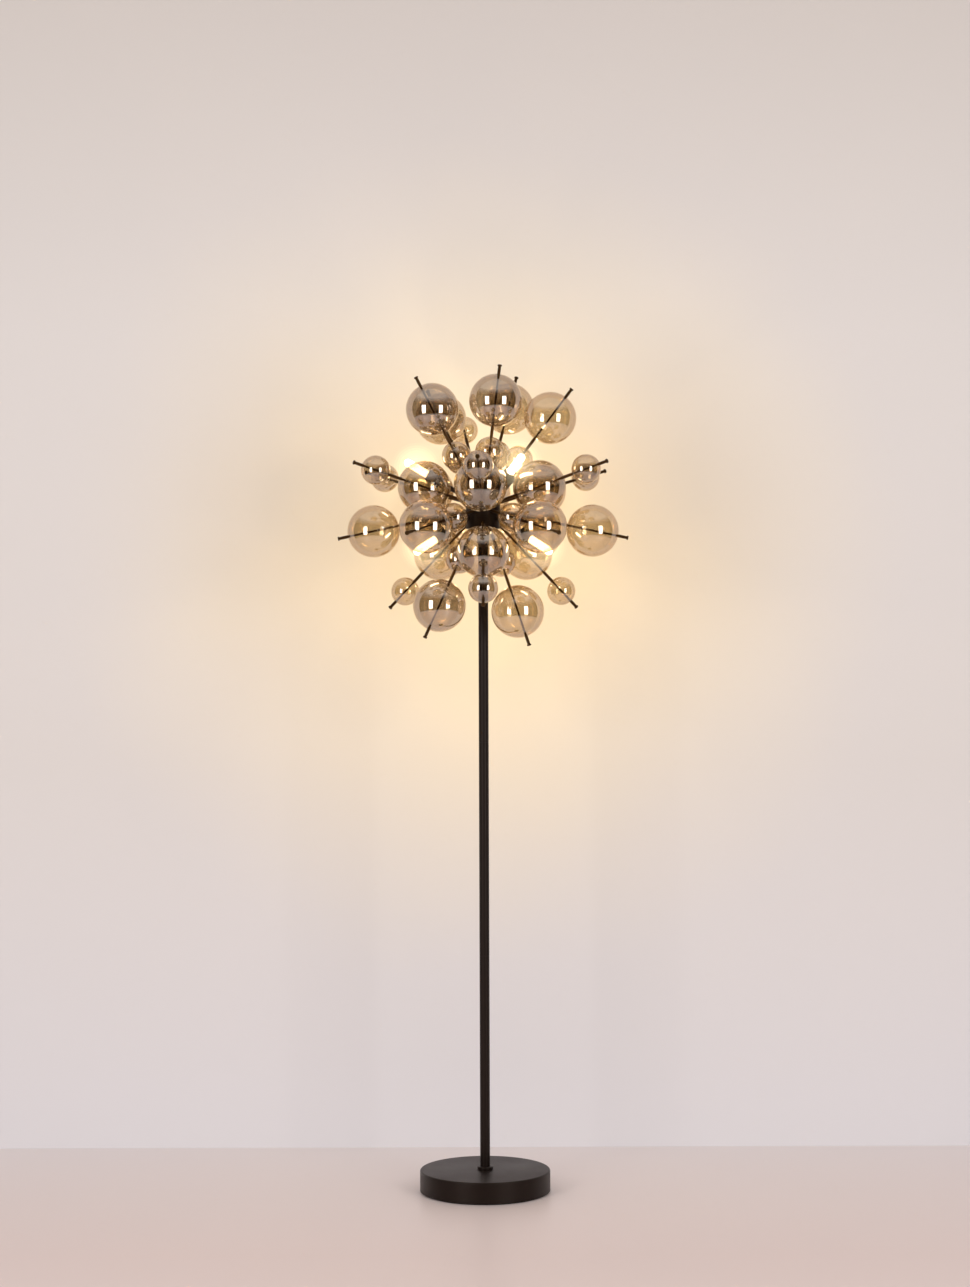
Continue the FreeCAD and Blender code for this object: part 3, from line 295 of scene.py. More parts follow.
class Value:
    """An output of a node that sums can be written on."""

    def __init__(self, maker, socket):
        self.maker = maker
        self.socket = socket

    def _join(self, operation, first, second):
        return self.maker.node("ShaderNodeMath", {"operation": operation}, {0: first, 1: second})

    def __add__(self, other):
        return self._join("ADD", self, other)

    def __sub__(self, other):
        return self._join("SUBTRACT", self, other)

    def __rsub__(self, other):
        return self._join("SUBTRACT", other, self)

    def __mul__(self, other):
        return self._join("MULTIPLY", self, other)

    def __pow__(self, other):
        return self._join("POWER", self, other)

    def or_more(self, other):
        """The larger of two values."""
        return self._join("MAXIMUM", self, other)

    __radd__ = __add__
    __rmul__ = __mul__


def add_node(tree, kind, settings=None, inputs=None):
    """Add a node to a tree: its settings first, then the values or links of its sockets."""
    made = tree.nodes.new(kind)
    for name, setting in (settings or {}).items():
        setattr(made, name, setting)
    for name, given in (inputs or {}).items():
        if isinstance(given, Value):
            given = given.socket
        if isinstance(given, bpy.types.NodeSocket):
            tree.links.new(given, made.inputs[name])
        else:
            made.inputs[name].default_value = given
    return made


class Shading:
    """The nodes of a material, or of the world, under construction."""

    def __init__(self, owner):
        owner.use_nodes = True
        self.owner = owner
        self.tree = owner.node_tree
        self.tree.nodes.clear()

    def node(self, kind, settings=None, inputs=None, output=0):
        """Add a node and return one of its outputs."""
        return Value(self, add_node(self.tree, kind, settings, inputs).outputs[output])

    def mix(self, factor, first, second):
        """A shader between two shaders."""
        return self.node("ShaderNodeMixShader", {}, {0: factor, 1: first, 2: second})

    def clear(self, colour=(1, 1, 1)):
        """A shader that lets through this colour."""
        return self.node("ShaderNodeBsdfTransparent", {}, {"Color": (*colour, 1)})

    def end(self, shader, kind="ShaderNodeOutputMaterial"):
        """Join the last shader to the output and return what it shades."""
        add_node(self.tree, kind, {}, {"Surface": shader})
        return self.owner


class Finish(Shading):
    """A material under construction."""

    def __init__(self, name):
        super().__init__(bpy.data.materials.new(name))

    def place(self):
        """The point on the piece, in its own metres."""
        return self.node("ShaderNodeTexCoord", output="Object")

    def along(self, axis):
        """One coordinate of the point on the piece."""
        return self.node("ShaderNodeSeparateXYZ", {}, {0: self.place()}, axis)

    def slant(self):
        """How slantingly a surface is seen: 0 squarely, 1 at its outline. For glass only."""
        return self.node("ShaderNodeLayerWeight", {}, {"Blend": 0.5}, "Facing")

    def mark(self, name):
        """A number that the piece carries on its points."""
        return self.node("ShaderNodeAttribute", {"attribute_name": name}, {}, "Fac")

    def noise(self, scale, detail=2.0, roughness=0.5):
        """Cloudy variation from 0 to 1, with grains about 1 / scale metres across."""
        inputs = {
            "Vector": self.place(),
            "Scale": scale,
            "Detail": detail,
            "Roughness": roughness,
        }
        return self.node("ShaderNodeTexNoise", {}, inputs)

    def spread(self, value, low, high, new_low, new_high):
        """Map a range of a value to another range, without going past its ends."""
        inputs = {
            "Value": value,
            "From Min": low,
            "From Max": high,
            "To Min": new_low,
            "To Max": new_high,
        }
        return self.node("ShaderNodeMapRange", {"clamp": True}, inputs)

    def blend(self, factor, first, second):
        """A colour between two colours."""
        ends = [end if isinstance(end, Value) else (*end, 1) for end in (first, second)]
        inputs = {0: factor, 6: ends[0], 7: ends[1]}
        return self.node("ShaderNodeMix", {"data_type": "RGBA"}, inputs, 2)

    def clouded(self, factor, colour, darkest, lightest):
        """A colour that a factor makes darker or lighter by these shares."""
        return self.blend(factor, lighter(colour, darkest), lighter(colour, lightest))

    def bump(self, height, depth):
        """A normal from a height, with its full depth in metres."""
        return self.node("ShaderNodeBump", {}, {"Height": height, "Distance": depth})


def lighter(colour, times):
    """A colour made lighter or darker, kept within range."""
    return tuple(min(1.0, part * times) for part in colour)


def coated(name, colour, roughness, grain, depth, metallic=0.0):
    """Matt coated metal: fine grains, a slightly uneven sheen and faint cloudiness."""
    finish = Finish(name)
    clouds_per_metre = 9
    grain_share = 0.5
    smooth = roughness - 0.05
    rough = roughness + 0.06
    grains = finish.noise(1 / grain, detail=3, roughness=0.6)
    clouds = finish.noise(clouds_per_metre, detail=3)
    uneven = clouds + grains * grain_share
    inputs = {
        "Base Color": finish.clouded(clouds, colour, darkest=0.85, lightest=1.2),
        "Roughness": finish.spread(uneven, 0.5, 1.0, smooth, rough),
        "Metallic": metallic,
        "Specular IOR Level": 0.3,
        "Specular Tint": (*colours().sheen, 1),
        "Normal": finish.bump(grains, depth),
    }
    return finish.end(finish.node("ShaderNodeBsdfPrincipled", {}, inputs))


def metal(name, colour, roughness):
    """Bare turned metal with fine marks of the tool."""
    finish = Finish(name)
    marks_per_metre = 400
    stains_per_metre = 60
    smooth = roughness - 0.06
    rough = roughness + 0.08
    marks = finish.noise(marks_per_metre)
    stains = finish.noise(stains_per_metre, detail=3)
    inputs = {
        "Base Color": finish.clouded(stains, colour, darkest=0.8, lightest=1.1),
        "Metallic": 1.0,
        "Roughness": finish.spread(marks, *MOST_NOISE, smooth, rough),
        "Normal": finish.bump(marks, 0.02 * MM),
    }
    return finish.end(finish.node("ShaderNodeBsdfPrincipled", {}, inputs))


def moulded(name, colour, roughness):
    """Moulded or fired stuff: plastic, rubber and ceramic."""
    finish = Finish(name)
    pits_per_metre = 700
    clouds_per_metre = 35
    smooth = roughness - 0.05
    rough = roughness + 0.07
    pits = finish.noise(pits_per_metre, detail=3)
    clouds = finish.noise(clouds_per_metre)
    inputs = {
        "Base Color": finish.clouded(clouds, colour, darkest=0.92, lightest=1.05),
        "Roughness": finish.spread(pits, *MOST_NOISE, smooth, rough),
        "Normal": finish.bump(pits, 0.02 * MM),
    }
    return finish.end(finish.node("ShaderNodeBsdfPrincipled", {}, inputs))


def smoked_glass():
    """Tinted glass with a thin metal film outside: deeper and brighter near its outline."""
    finish = Finish("smoked_glass")
    paint = colours()
    most_smoke = 0.6
    streaks_per_metre = 14
    thinnest_streak = 0.85
    mirror_inside = 0.03
    mirror_outside = 0.23
    mirror_of_smoke = 0.08
    mirror_at_outline = 0.9
    polish = 0.015
    outside = finish.mark("film")
    smoke = finish.mark("chance")
    slant = finish.slant()
    streaks = finish.noise(streaks_per_metre)
    streaks = finish.spread(streaks, *MOST_NOISE, thinnest_streak, 1.0)
    share = smoke**2 * most_smoke
    tinted = finish.mix(share, finish.clear(paint.glass), finish.clear(paint.glass_smoke))
    body = finish.mix(slant**3 * streaks, tinted, finish.clear(paint.glass_edge))
    film = {"Color": (*paint.film, 1), "Roughness": polish}
    mirror = finish.node("ShaderNodeBsdfGlossy", {}, film)
    base = outside * (smoke * mirror_of_smoke + mirror_outside) + mirror_inside
    amount = base + slant**5 * (mirror_at_outline - base)
    return finish.end(finish.mix(amount, body, mirror))


def lit_glass():
    """Glass of a lit bulb: it glows evenly, and is clearer towards its outline."""
    finish = Finish("lit_bulb_glass")
    paint = colours()
    frosting_per_metre = 500
    clear_from, clear_full = 0.1, 0.85
    clearest = 0.96
    inputs = {
        "Base Color": (*paint.bulb, 1),
        "Roughness": 0.25,
        "Emission Color": (*paint.lit, 1),
        "Emission Strength": sizes().bulb_strength,
        "Normal": finish.bump(finish.noise(frosting_per_metre), 0.02 * MM),
    }
    lit = finish.node("ShaderNodeBsdfPrincipled", {}, inputs)
    edge = finish.spread(finish.slant(), clear_from, clear_full, 0.0, clearest)
    return finish.end(finish.mix(edge, lit, finish.clear(paint.bulb_edge)))


def make_finishes():
    """Every finish of the lamp by name."""
    paint = colours()
    grain = sizes().coat_grain
    return {
        "coat": coated("powder_coat", paint.coat, roughness=0.42, grain=grain, depth=0.06 * MM),
        "rod": coated(
            "burnished_rod",
            paint.rod,
            roughness=0.34,
            grain=grain * 0.6,
            depth=0.02 * MM,
            metallic=0.6,
        ),
        "glass": smoked_glass(),
        "lit": lit_glass(),
        "brass": metal("brass", paint.brass, roughness=0.3),
        "steel": metal("plain_steel", paint.steel, roughness=0.35),
        "screw": metal("blackened_steel", paint.screw, roughness=0.38),
        "iron": coated("cast_iron", paint.iron, roughness=0.7, grain=2.5 * MM, depth=0.3 * MM),
        "rubber": moulded("rubber", paint.rubber, roughness=0.75),
        "ceramic": moulded("fired_ceramic", paint.ceramic, roughness=0.45),
        "plastic": moulded("pale_plastic", paint.plastic, roughness=0.4),
        "dark_plastic": moulded("dark_plastic", lighter(paint.rubber, 1.4), roughness=0.4),
    }


FINISHES = {}


def finish_named(name):
    """A finish, all of them made at the first call."""
    if not FINISHES:
        FINISHES.update(make_finishes())
    return FINISHES[name]


def dress(name, *nodes):
    """Give CAD nodes that stay in sight, or inside, a finish."""
    for node in nodes:
        slots = frame["nodes"][node].data.materials
        slots.clear()
        slots.append(finish_named(name))


# -------------------------------------------------------------------- turned shapes


def arc(across, up, radius, start, end, count):
    """Points of an arc in a half section, from one angle to another, in degrees."""
    points = []
    for index in range(count + 1):
        angle = math.radians(start + (end - start) * index / count)
        points.append((across + radius * math.cos(angle), up + radius * math.sin(angle)))
    return points


def turned_mesh(name, section, steps, closed=True, sharp=40):
    """A shape turned about Z from a half section of (radius, height) points.

    A closed section makes a shell, and an open one starts and ends on the axis. An edge
    that turns by more than sharp degrees stays sharp."""
    shape = bmesh.new()
    rings = []
    angles = [2 * math.pi * step / steps for step in range(steps)]
    for radius, height in section:
        if radius < ON_AXIS:
            rings.append([shape.verts.new((0, 0, height))])
        else:
            ring = [(radius * math.cos(a), radius * math.sin(a), height) for a in angles]
            rings.append([shape.verts.new(point) for point in ring])
    pairs = list(zip(rings, rings[1:]))
    if closed:
        pairs.append((rings[-1], rings[0]))
    for low, high in pairs:
        join_rings(shape, low, high, steps)
    bmesh.ops.recalc_face_normals(shape, faces=shape.faces)
    limit = math.radians(sharp)
    for face in shape.faces:
        face.smooth = True
    for edge in shape.edges:
        edge.smooth = edge.calc_face_angle(0) < limit
    mesh = bpy.data.meshes.new(name)
    shape.to_mesh(mesh)
    shape.free()
    return mesh


def join_rings(shape, low, high, steps):
    """Faces between two rings, either of which may be a single point."""
    if len(low) == 1 and len(high) == 1:
        return
    for step in range(steps):
        following = (step + 1) % steps
        if len(low) == 1:
            shape.faces.new((low[0], high[following], high[step]))
        elif len(high) == 1:
            shape.faces.new((low[step], low[following], high[0]))
        else:
            shape.faces.new((low[step], low[following], high[following], high[step]))


def add_object(name, mesh):
    """Put a mesh in the scene as an object at the origin."""
    piece = bpy.data.objects.new(name, mesh)
    bpy.context.scene.collection.objects.link(piece)
    return piece


def coated_piece(name, section, node, steps):
    """A coated piece turned about the lamp's own axis, in place of a CAD node."""
    mesh = turned_mesh(name, section, steps)
    mesh.materials.append(finish_named("coat"))
    return settle(add_object(name, mesh), "black_coat", "lamp", node)


def settle(piece, slot, body, *nodes):
    """Attach a piece to the body it rides on, and hide the CAD nodes it stands for. The slot is
    not used.
    """
    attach(piece, body)
    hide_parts(*nodes)
    return piece


# ------------------------------------------------------------ copies on rays by nodes


def new_tree(name, inputs):
    """A geometry tree with a geometry in and out, and more named inputs."""
    tree = bpy.data.node_groups.new(name, "GeometryNodeTree")
    tree.interface.new_socket("Geometry", in_out="INPUT", socket_type="NodeSocketGeometry")
    for label, kind in inputs:
        tree.interface.new_socket(label, in_out="INPUT", socket_type=kind)
    tree.interface.new_socket("Geometry", in_out="OUTPUT", socket_type="NodeSocketGeometry")
    return tree


def ray_tree():
    """Copies of a pattern on points, each turned to its ray and stretched along it."""
    wanted = [
        ("Pattern", "NodeSocketObject"),
        ("Finish", "NodeSocketMaterial"),
        ("Seed", "NodeSocketInt"),
    ]
    tree = new_tree("copies_on_rays", wanted)
    given = add_node(tree, "NodeGroupInput").outputs

    def step(kind, settings, inputs, output):
        return add_node(tree, kind, settings, inputs).outputs[output]

    def carried(name):
        settings = {"data_type": "FLOAT_VECTOR"}
        return step("GeometryNodeInputNamedAttribute", settings, {"Name": name}, "Attribute")

    pattern = {"Object": given["Pattern"], "As Instance": True}
    copies = {
        "Points": given["Geometry"],
        "Instance": step("GeometryNodeObjectInfo", {}, pattern, "Geometry"),
        "Rotation": step(
            "FunctionNodeAlignRotationToVector",
            {"axis": "Z"},
            {"Vector": carried("ray")},
            "Rotation",
        ),
        "Scale": carried("stretch"),
    }
    marked = {
        "Geometry": step("GeometryNodeInstanceOnPoints", {}, copies, "Instances"),
        "Name": "chance",
        "Value": step(
            "FunctionNodeRandomValue", {"data_type": "FLOAT"}, {"Seed": given["Seed"]}, 1
        ),
    }
    on_copies = {"data_type": "FLOAT", "domain": "INSTANCE"}
    shape = step("GeometryNodeStoreNamedAttribute", on_copies, marked, "Geometry")
    shape = step("GeometryNodeRealizeInstances", {}, {"Geometry": shape}, "Geometry")
    dressed = {"Geometry": shape, "Material": given["Finish"]}
    shape = step("GeometryNodeSetMaterial", {}, dressed, "Geometry")
    add_node(tree, "NodeGroupOutput", {}, {"Geometry": shape})
    return tree


def socket_names(tree):
    """The identifier of each named input of a tree."""
    rows = tree.interface.items_tree
    return {row.name: row.identifier for row in rows if row.in_out == "INPUT"}


def copies_on_rays(name, pattern_mesh, places, finish, seed=1):
    """One mesh of copies of a pattern. Each place is (ray, reach, stretch)."""
    tree = bpy.data.node_groups.get("copies_on_rays") or ray_tree()
    pattern = add_object(name + "_pattern", pattern_mesh)
    dots = bpy.data.meshes.new(name)
    dots.from_pydata([HUB + ray * reach for ray, reach, _ in places], [], [])
    carry(dots, "ray", [ray for ray, _, _ in places])
    carry(dots, "stretch", [(1, 1, stretch) for _, _, stretch in places])
    holder = add_object(name, dots)
    modifier = holder.modifiers.new("copies", "NODES")
    modifier.node_group = tree
    inputs = socket_names(tree)
    modifier[inputs["Pattern"]] = pattern
    modifier[inputs["Finish"]] = finish_named(finish)
    modifier[inputs["Seed"]] = seed
    graph = bpy.context.evaluated_depsgraph_get()
    result = bpy.data.meshes.new_from_object(
        holder.evaluated_get(graph), preserve_all_data_layers=True, depsgraph=graph
    )
    holder.modifiers.clear()
    holder.data = result
    bpy.data.meshes.remove(dots)
    result.name = name
    bpy.data.objects.remove(pattern)
    bpy.data.meshes.remove(pattern_mesh)
    return holder


def carry(dots, name, vectors):
    """Store a vector on each point of a mesh."""
    stored = dots.attributes.new(name, "FLOAT_VECTOR", "POINT")
    stored.data.foreach_set("vector", [part for vector in vectors for part in vector])


# ---------------------------------------------------------------------------- pieces


class LAMP_OT_foot(bpy.types.Operator):
    """Spun cover of the foot with its rounded rim, and the finishes under it"""

    bl_idname = "lamp.foot"
    bl_label = "Foot"

    def execute(self, context):
        low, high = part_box("base_cover")
        radius = (high.x - low.x) / 2
        wall = sizes().cover_wall
        rim = 3 * MM
        hole = 5.3 * MM
        section = [(radius, low.z)]
        section += arc(radius - rim, high.z - rim, rim, 0, 90, count=8)
        section += [(hole, high.z), (hole, high.z - wall)]
        section += arc(radius - rim, high.z - rim, rim - wall, 90, 0, count=4)
        section += [(radius - wall, low.z)]
        mesh = turned_mesh("foot_cover", section, steps=160)
        mesh.materials.append(finish_named("coat"))
        cover = add_object("foot_cover", mesh)
        cut_inlet(cover)
        settle(cover, "black_coat", "lamp", "base_cover")
        dress("rubber", "base_pad")
        dress("iron", "base_weight")
        dress("dark_plastic", "cord_gland")
        dress("steel", "base_washer", "base_nut")
        dress("brass", "base_stud")
        return {"FINISHED"}


def cut_inlet(cover):
    """Cut the round hole that the cord's bush sits in."""
    low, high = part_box("cord_gland")
    middle = (low + high) / 2
    radius = 5.1 * MM
    half = 20 * MM
    section = [(0, -half), (radius, -half), (radius, half), (0, half)]
    mesh = turned_mesh("inlet_cutter", section, steps=32, closed=False)
    place = Matrix.Translation((0, middle.y, middle.z))
    mesh.transform(place @ Matrix.Rotation(math.pi / 2, 4, "X"))
    cutter = add_object("inlet_cutter", mesh)
    modifier = cover.modifiers.new("inlet", "BOOLEAN")
    modifier.object = cutter
    modifier.solver = "EXACT"
    graph = bpy.context.evaluated_depsgraph_get()
    result = bpy.data.meshes.new_from_object(cover.evaluated_get(graph), depsgraph=graph)
    cover.modifiers.clear()
    cover.data = result
    bpy.data.objects.remove(cutter)


class LAMP_OT_column(bpy.types.Operator):
    """Column tubes with fine joints, and the turned collar on the foot"""

    bl_idname = "lamp.column"
    bl_label = "Column"

    def execute(self, context):
        wall = 1.5 * MM
        bevel = 0.4 * MM
        for node in ("column_lower", "column_middle", "column_upper"):
            low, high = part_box(node)
            radius = (high.x - low.x) / 2
            inner = radius - wall
            section = [(inner, low.z), (radius - bevel, low.z), (radius, low.z + bevel)]
            section += [(radius, high.z - bevel), (radius - bevel, high.z), (inner, high.z)]
            coated_piece(node + "_tube", section, node, steps=64)
        low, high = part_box("foot_collar")
        radius = (high.x - low.x) / 2
        inner = 9.65 * MM
        edge = 2 * MM
        section = [(inner, low.z), (radius, low.z)]
        section += arc(radius - edge, high.z - edge, edge, 0, 90, count=8)
        section += [(inner, high.z)]
        coated_piece("collar_ring", section, "foot_collar", steps=64)
        dress("brass", "column_foot_plug", "column_head_plug")
        dress("steel", "column_couplers")
        return {"FINISHED"}


class LAMP_OT_hub(bpy.types.Operator):
    """Drum and dome of the hub, its socket screws and the finishes of what it holds"""

    bl_idname = "lamp.hub"
    bl_label = "Hub"

    def execute(self, context):
        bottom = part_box("hub_shell")[0].z
        low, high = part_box("hub_dome")
        radius = (high.x - low.x) / 2
        wall = 5 * MM
        seam = 0.35 * MM
        edge = 2 * MM
        inner = radius - wall
        hole = 5.15 * MM
        section = [(hole, bottom)]
        section += arc(radius - edge, bottom + edge, edge, -90, 0, count=6)
        section += [(radius, HUB.z - seam), (radius - seam, HUB.z), (inner, HUB.z)]
        section += [(inner, bottom + wall), (hole, bottom + wall)]
        coated_piece("hub_drum", section, "hub_shell", steps=96)
        section = [(inner, HUB.z), (radius - seam, HUB.z), (radius, HUB.z + seam)]
        section += arc(0, HUB.z, radius, 2, 90, count=24)
        section += arc(0, HUB.z, inner, 90, 4, count=20)
        coated_piece("hub_cap", section, "hub_dome", steps=96)
        screws = stations("hub_screws")
        mesh = socket_screw_mesh(screws[0].radius, screws[0].length)
        places = [(screw.ray, screw.near, 1) for screw in screws]
        piece = copies_on_rays("socket_screws", mesh, places, "screw")
        settle(piece, "dark_screw", "lamp", "hub_screws")
        dress("brass", "hub_nipple")
        dress("steel", "hub_washer", "hub_nut")
        dress("plastic", "terminal_block", "lamp_leads")
        dress("dark_plastic", "supply_cable")
        return {"FINISHED"}


def socket_screw_mesh(radius, length):
    """Small screw without a head, with a round socket in its outer end."""
    socket_share = 0.55
    socket = radius * socket_share
    depth = 1.2 * MM
    bevel = 0.2 * MM
    section = [(0, 0), (radius, 0), (radius, length - bevel), (radius - bevel, length)]
    section += [(socket, length), (socket, length - depth), (0, length - depth)]
    return turned_mesh("socket_screw", section, steps=24, closed=False, sharp=30)


ROD_NODES = ("crown_rods", "upper_rods", "lower_rods", "under_rods", "bottom_rods")
SLEEVE_NODES = ("inner_sleeves", "middle_sleeves", "outer_sleeves")


class LAMP_OT_rods(bpy.types.Operator):
    """Rods out of the hub, their spacer sleeves and their end knobs"""

    bl_idname = "lamp.rods"
    bl_label = "Rods, sleeves and knobs"

    def execute(self, context):
        slack = 0.15 * MM
        rods = stations(*ROD_NODES)
        radius = rods[0].radius
        section = [(0, 0), (radius, 0), (radius, 1), (0, 1)]
        mesh = turned_mesh("rod", section, steps=20, closed=False)
        places = [(rod.ray, rod.near, rod.length) for rod in rods]
        piece = copies_on_rays("head_rods", mesh, places, "rod")
        settle(piece, "black_rod", "lamp", *ROD_NODES)
        sleeves = stations(*SLEEVE_NODES)
        outer = sleeves[0].radius
        inner = radius + slack
        section = [(inner, 0), (outer, 0), (outer, 1), (inner, 1)]
        mesh = turned_mesh("sleeve", section, steps=20)
        places = [(sleeve.ray, sleeve.near, sleeve.length) for sleeve in sleeves]
        piece = copies_on_rays("rod_sleeves", mesh, places, "rod")
        settle(piece, "black_rod", "lamp", *SLEEVE_NODES)
        knobs = stations("rod_knobs")
        places = [(knob.ray, knob.near, 1) for knob in knobs]
        piece = copies_on_rays("end_knobs", knob_mesh(knobs[0]), places, "rod")
        settle(piece, "black_rod", "lamp", "rod_knobs")
        return {"FINISHED"}


def knob_mesh(knob):
    """Turned end knob: a blind hole in a slim neck, and a flat head with rounded edges."""
    radius = knob.radius
    length = knob.length
    hole = 2.1 * MM
    depth = 4.5 * MM
    neck = 2.8 * MM
    head = 2.7 * MM
    edge = 1.2 * MM
    fillet = 0.6 * MM
    bevel = 0.2 * MM
    start = length - head
    section = [(0, depth), (hole, depth), (hole, 0), (neck - bevel, 0), (neck, bevel)]
    section += arc(neck + fillet, start - fillet, fillet, 180, 90, count=4)
    section += [(radius - bevel, start), (radius, start + bevel)]
    section += arc(radius - edge, length - edge, edge, 0, 90, count=5)
    section += [(0, length)]
    return turned_mesh("knob", section, steps=28, closed=False)


def globe_mesh(radius, wall, hole, steps):
    """Hollow ball with a polished rim round the hole at each end of its rod."""
    shell = math.degrees(math.asin(hole / radius))
    inner = radius - wall
    inner_shell = math.degrees(math.asin(hole / inner))
    half = steps // 2
    outside = arc(0, 0, radius, shell - 90, 90 - shell, half)
    inside = arc(0, 0, inner, 90 - inner_shell, inner_shell - 90, half)
    mesh = turned_mesh("globe", outside + inside, steps, sharp=50)
    film = mesh.attributes.new("film", "FLOAT", "POINT")
    middle = radius - wall / 2
    film.data.foreach_set("value", [float(v.co.length > middle) for v in mesh.vertices])
    return mesh


class LAMP_OT_globes(bpy.types.Operator):
    """Blown glass globes, large and small"""

    bl_idname = "lamp.globes"
    bl_label = "Glass globes"

    def execute(self, context):
        hole = 2.35 * MM
        kinds = [
            ("large_globes", "smoked_globes_large", sizes().large_wall, 64),
            ("small_globes", "smoked_globes_small", sizes().small_wall, 48),
        ]
        for node, name, wall, steps in kinds:
            globes = stations(node)
            mesh = globe_mesh(globes[0].radius, wall, hole, steps)
            places = [(globe.ray, globe.middle, 1) for globe in globes]
            piece = copies_on_rays(name, mesh, places, "glass", GLOBE_SEED)
            settle(piece, "smoked_glass", "lamp", node)
        return {"FINISHED"}


class LAMP_OT_holders(bpy.types.Operator):
    """Lamp arms, spun cups and the finishes of what they hold"""

    bl_idname = "lamp.holders"
    bl_label = "Lamp arms and cups"

    def execute(self, context):
        cups = stations("lamp_cups")
        places = [(cup.ray, cup.near, 1) for cup in cups]
        piece = copies_on_rays("spun_cups", cup_mesh(cups[0]), places, "coat")
        settle(piece, "black_coat", "lamp", "lamp_cups")
        dress("coat", "lamp_arms")
        dress("steel", "cup_nuts")
        dress("ceramic", "lampholders")
        dress("brass", "holder_contacts")
        return {"FINISHED"}


def cup_mesh(cup):
    """Spun cup, rounded behind, with a rolled lip in front."""
    wall = sizes().cup_wall
    radius = cup.radius
    length = cup.length
    edge = 3 * MM
    hole = 4.1 * MM
    lip = wall / 2
    section = [(hole, 0)]
    section += arc(radius - edge, edge, edge, -90, 0, count=6)
    section += arc(radius - lip, length - lip, lip, 0, 180, count=6)
    section += arc(radius - edge, edge, edge - wall, 0, -90, count=4)
    section += [(hole, wall)]
    return turned_mesh("cup", section, steps=48)


class LAMP_OT_bulbs(bpy.types.Operator):
    """Lit capsule bulbs, each on its own body"""

    bl_idname = "lamp.bulbs"
    bl_label = "Bulbs"

    def execute(self, context):
        names = [name for name in frame["bodies"] if name.startswith("bulb_")]
        for name in names:
            number = name.split("_")[1]
            node = f"bulb_glass_{number}"
            bulb = stations(node)[0]
            places = [(bulb.ray, bulb.near, 1)]
            piece = copies_on_rays(f"capsule_{number}", capsule_mesh(bulb), places, "lit")
            settle(piece, "bulb_glass", name, node)
            piece.visible_shadow = False
            middle = HUB + bulb.ray * bulb.middle
            add_bulb_light(name, middle, bulb.radius)
            add_halo(name, middle)
            dress("ceramic", f"bulb_base_{number}")
            dress("steel", f"bulb_pins_{number}")
        return {"FINISHED"}


def add_light(name, body, place, radius, energy, colour):
    """Round light in a bulb or in the air round it, which moves with the bulb."""
    light = bpy.data.lights.new(name, "POINT")
    light.energy = energy
    light.color = colour
    light.shadow_soft_size = radius
    holder = bpy.data.objects.new(name, light)
    holder.location = place
    bpy.context.scene.collection.objects.link(holder)
    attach(holder, body)
    return holder


def add_bulb_light(body, place, radius):
    """Warm light from inside a bulb."""
    lamp = add_light(body + "_light", body, place, radius, sizes().bulb_power, colours().glow)
    lamp.visible_glossy = False


def add_halo(body, place):
    """Soft glow round a bulb: faint round lights, each wider and weaker than the last."""
    count = 10
    reach = sizes().halo_reach
    strength = sizes().halo_strength
    fade = [strength * (1 - step / count) ** 2 for step in range(count + 1)]
    for step in range(count):
        radius = reach * (step + 1) / count
        brightness = fade[step] - fade[step + 1]
        face = (2 * math.pi * radius) ** 2
        name = f"{body}_halo_{step}"
        ball = add_light(name, body, place, radius, brightness * face, colours().halo)
        ball.visible_camera = True
        ball.visible_diffuse = False


def capsule_mesh(bulb):
    """Capsule envelope, open behind, with a domed front."""
    radius = bulb.radius
    length = bulb.length
    wall = 1 * MM
    section = [(radius - wall, 0), (radius, 0)]
    section += arc(0, length - radius, radius, 0, 90, count=12)
    section += arc(0, length - radius, radius - wall, 90, 0, count=12)
    return turned_mesh("capsule", section, steps=40)


# ----------------------------------------------------------------------------- stage


class LAMP_OT_stage(bpy.types.Operator):
    """Wall and floor with painted light and shade, soft lamps and the camera"""

    bl_idname = "lamp.stage"
    bl_label = "Stage"

    def execute(self, context):
        half_wall = 6.0
        wall_height = 5.0
        half_floor = 4.0
        glass_layers = 64
        wall = plane(
            "backdrop",
            [(-half_wall, WALL_DISTANCE, 0), (half_wall, WALL_DISTANCE, 0)],
            [(half_wall, WALL_DISTANCE, wall_height), (-half_wall, WALL_DISTANCE, wall_height)],
            wall_paint(),
        )
        floor = plane(
            "floor",
            [(-half_floor, -half_floor, 0), (half_floor, -half_floor, 0)],
            [(half_floor, half_floor, 0), (-half_floor, half_floor, 0)],
            floor_paint(),
        )
        screen = dark_screen()
        add_room(context)
        add_lamps()
        add_camera(context)
        context.scene.view_settings.view_transform = "Standard"
        context.scene.cycles.transparent_max_bounces = glass_layers
        return {"FINISHED"}


def plane(name, near, far, paint):
    """A flat sheet of the stage, from the two corners of its near edge and its far edge."""
    mesh = bpy.data.meshes.new(name)
    mesh.from_pydata(near + far, [], [range(4)])
    mesh.materials.append(paint)
    return add_object(name, mesh)


def one_sided(finish, shade, roughness, gone=0.0):
    """Matt paint that is only there from its front, so that it hides nothing from behind."""
    inputs = {"Base Color": shade, "Roughness": roughness}
    paint = finish.node("ShaderNodeBsdfPrincipled", {}, inputs)
    behind = finish.node("ShaderNodeNewGeometry", output="Backfacing")
    return finish.end(finish.mix(behind.or_more(gone), paint, finish.clear()))


def cloudy(finish, colour):
    """A plain colour with faint wide clouds, as painted plaster has."""
    clouds_per_metre = 1.3
    clouds = finish.noise(clouds_per_metre)
    return finish.clouded(clouds, colour, darkest=0.985, lightest=1.015)


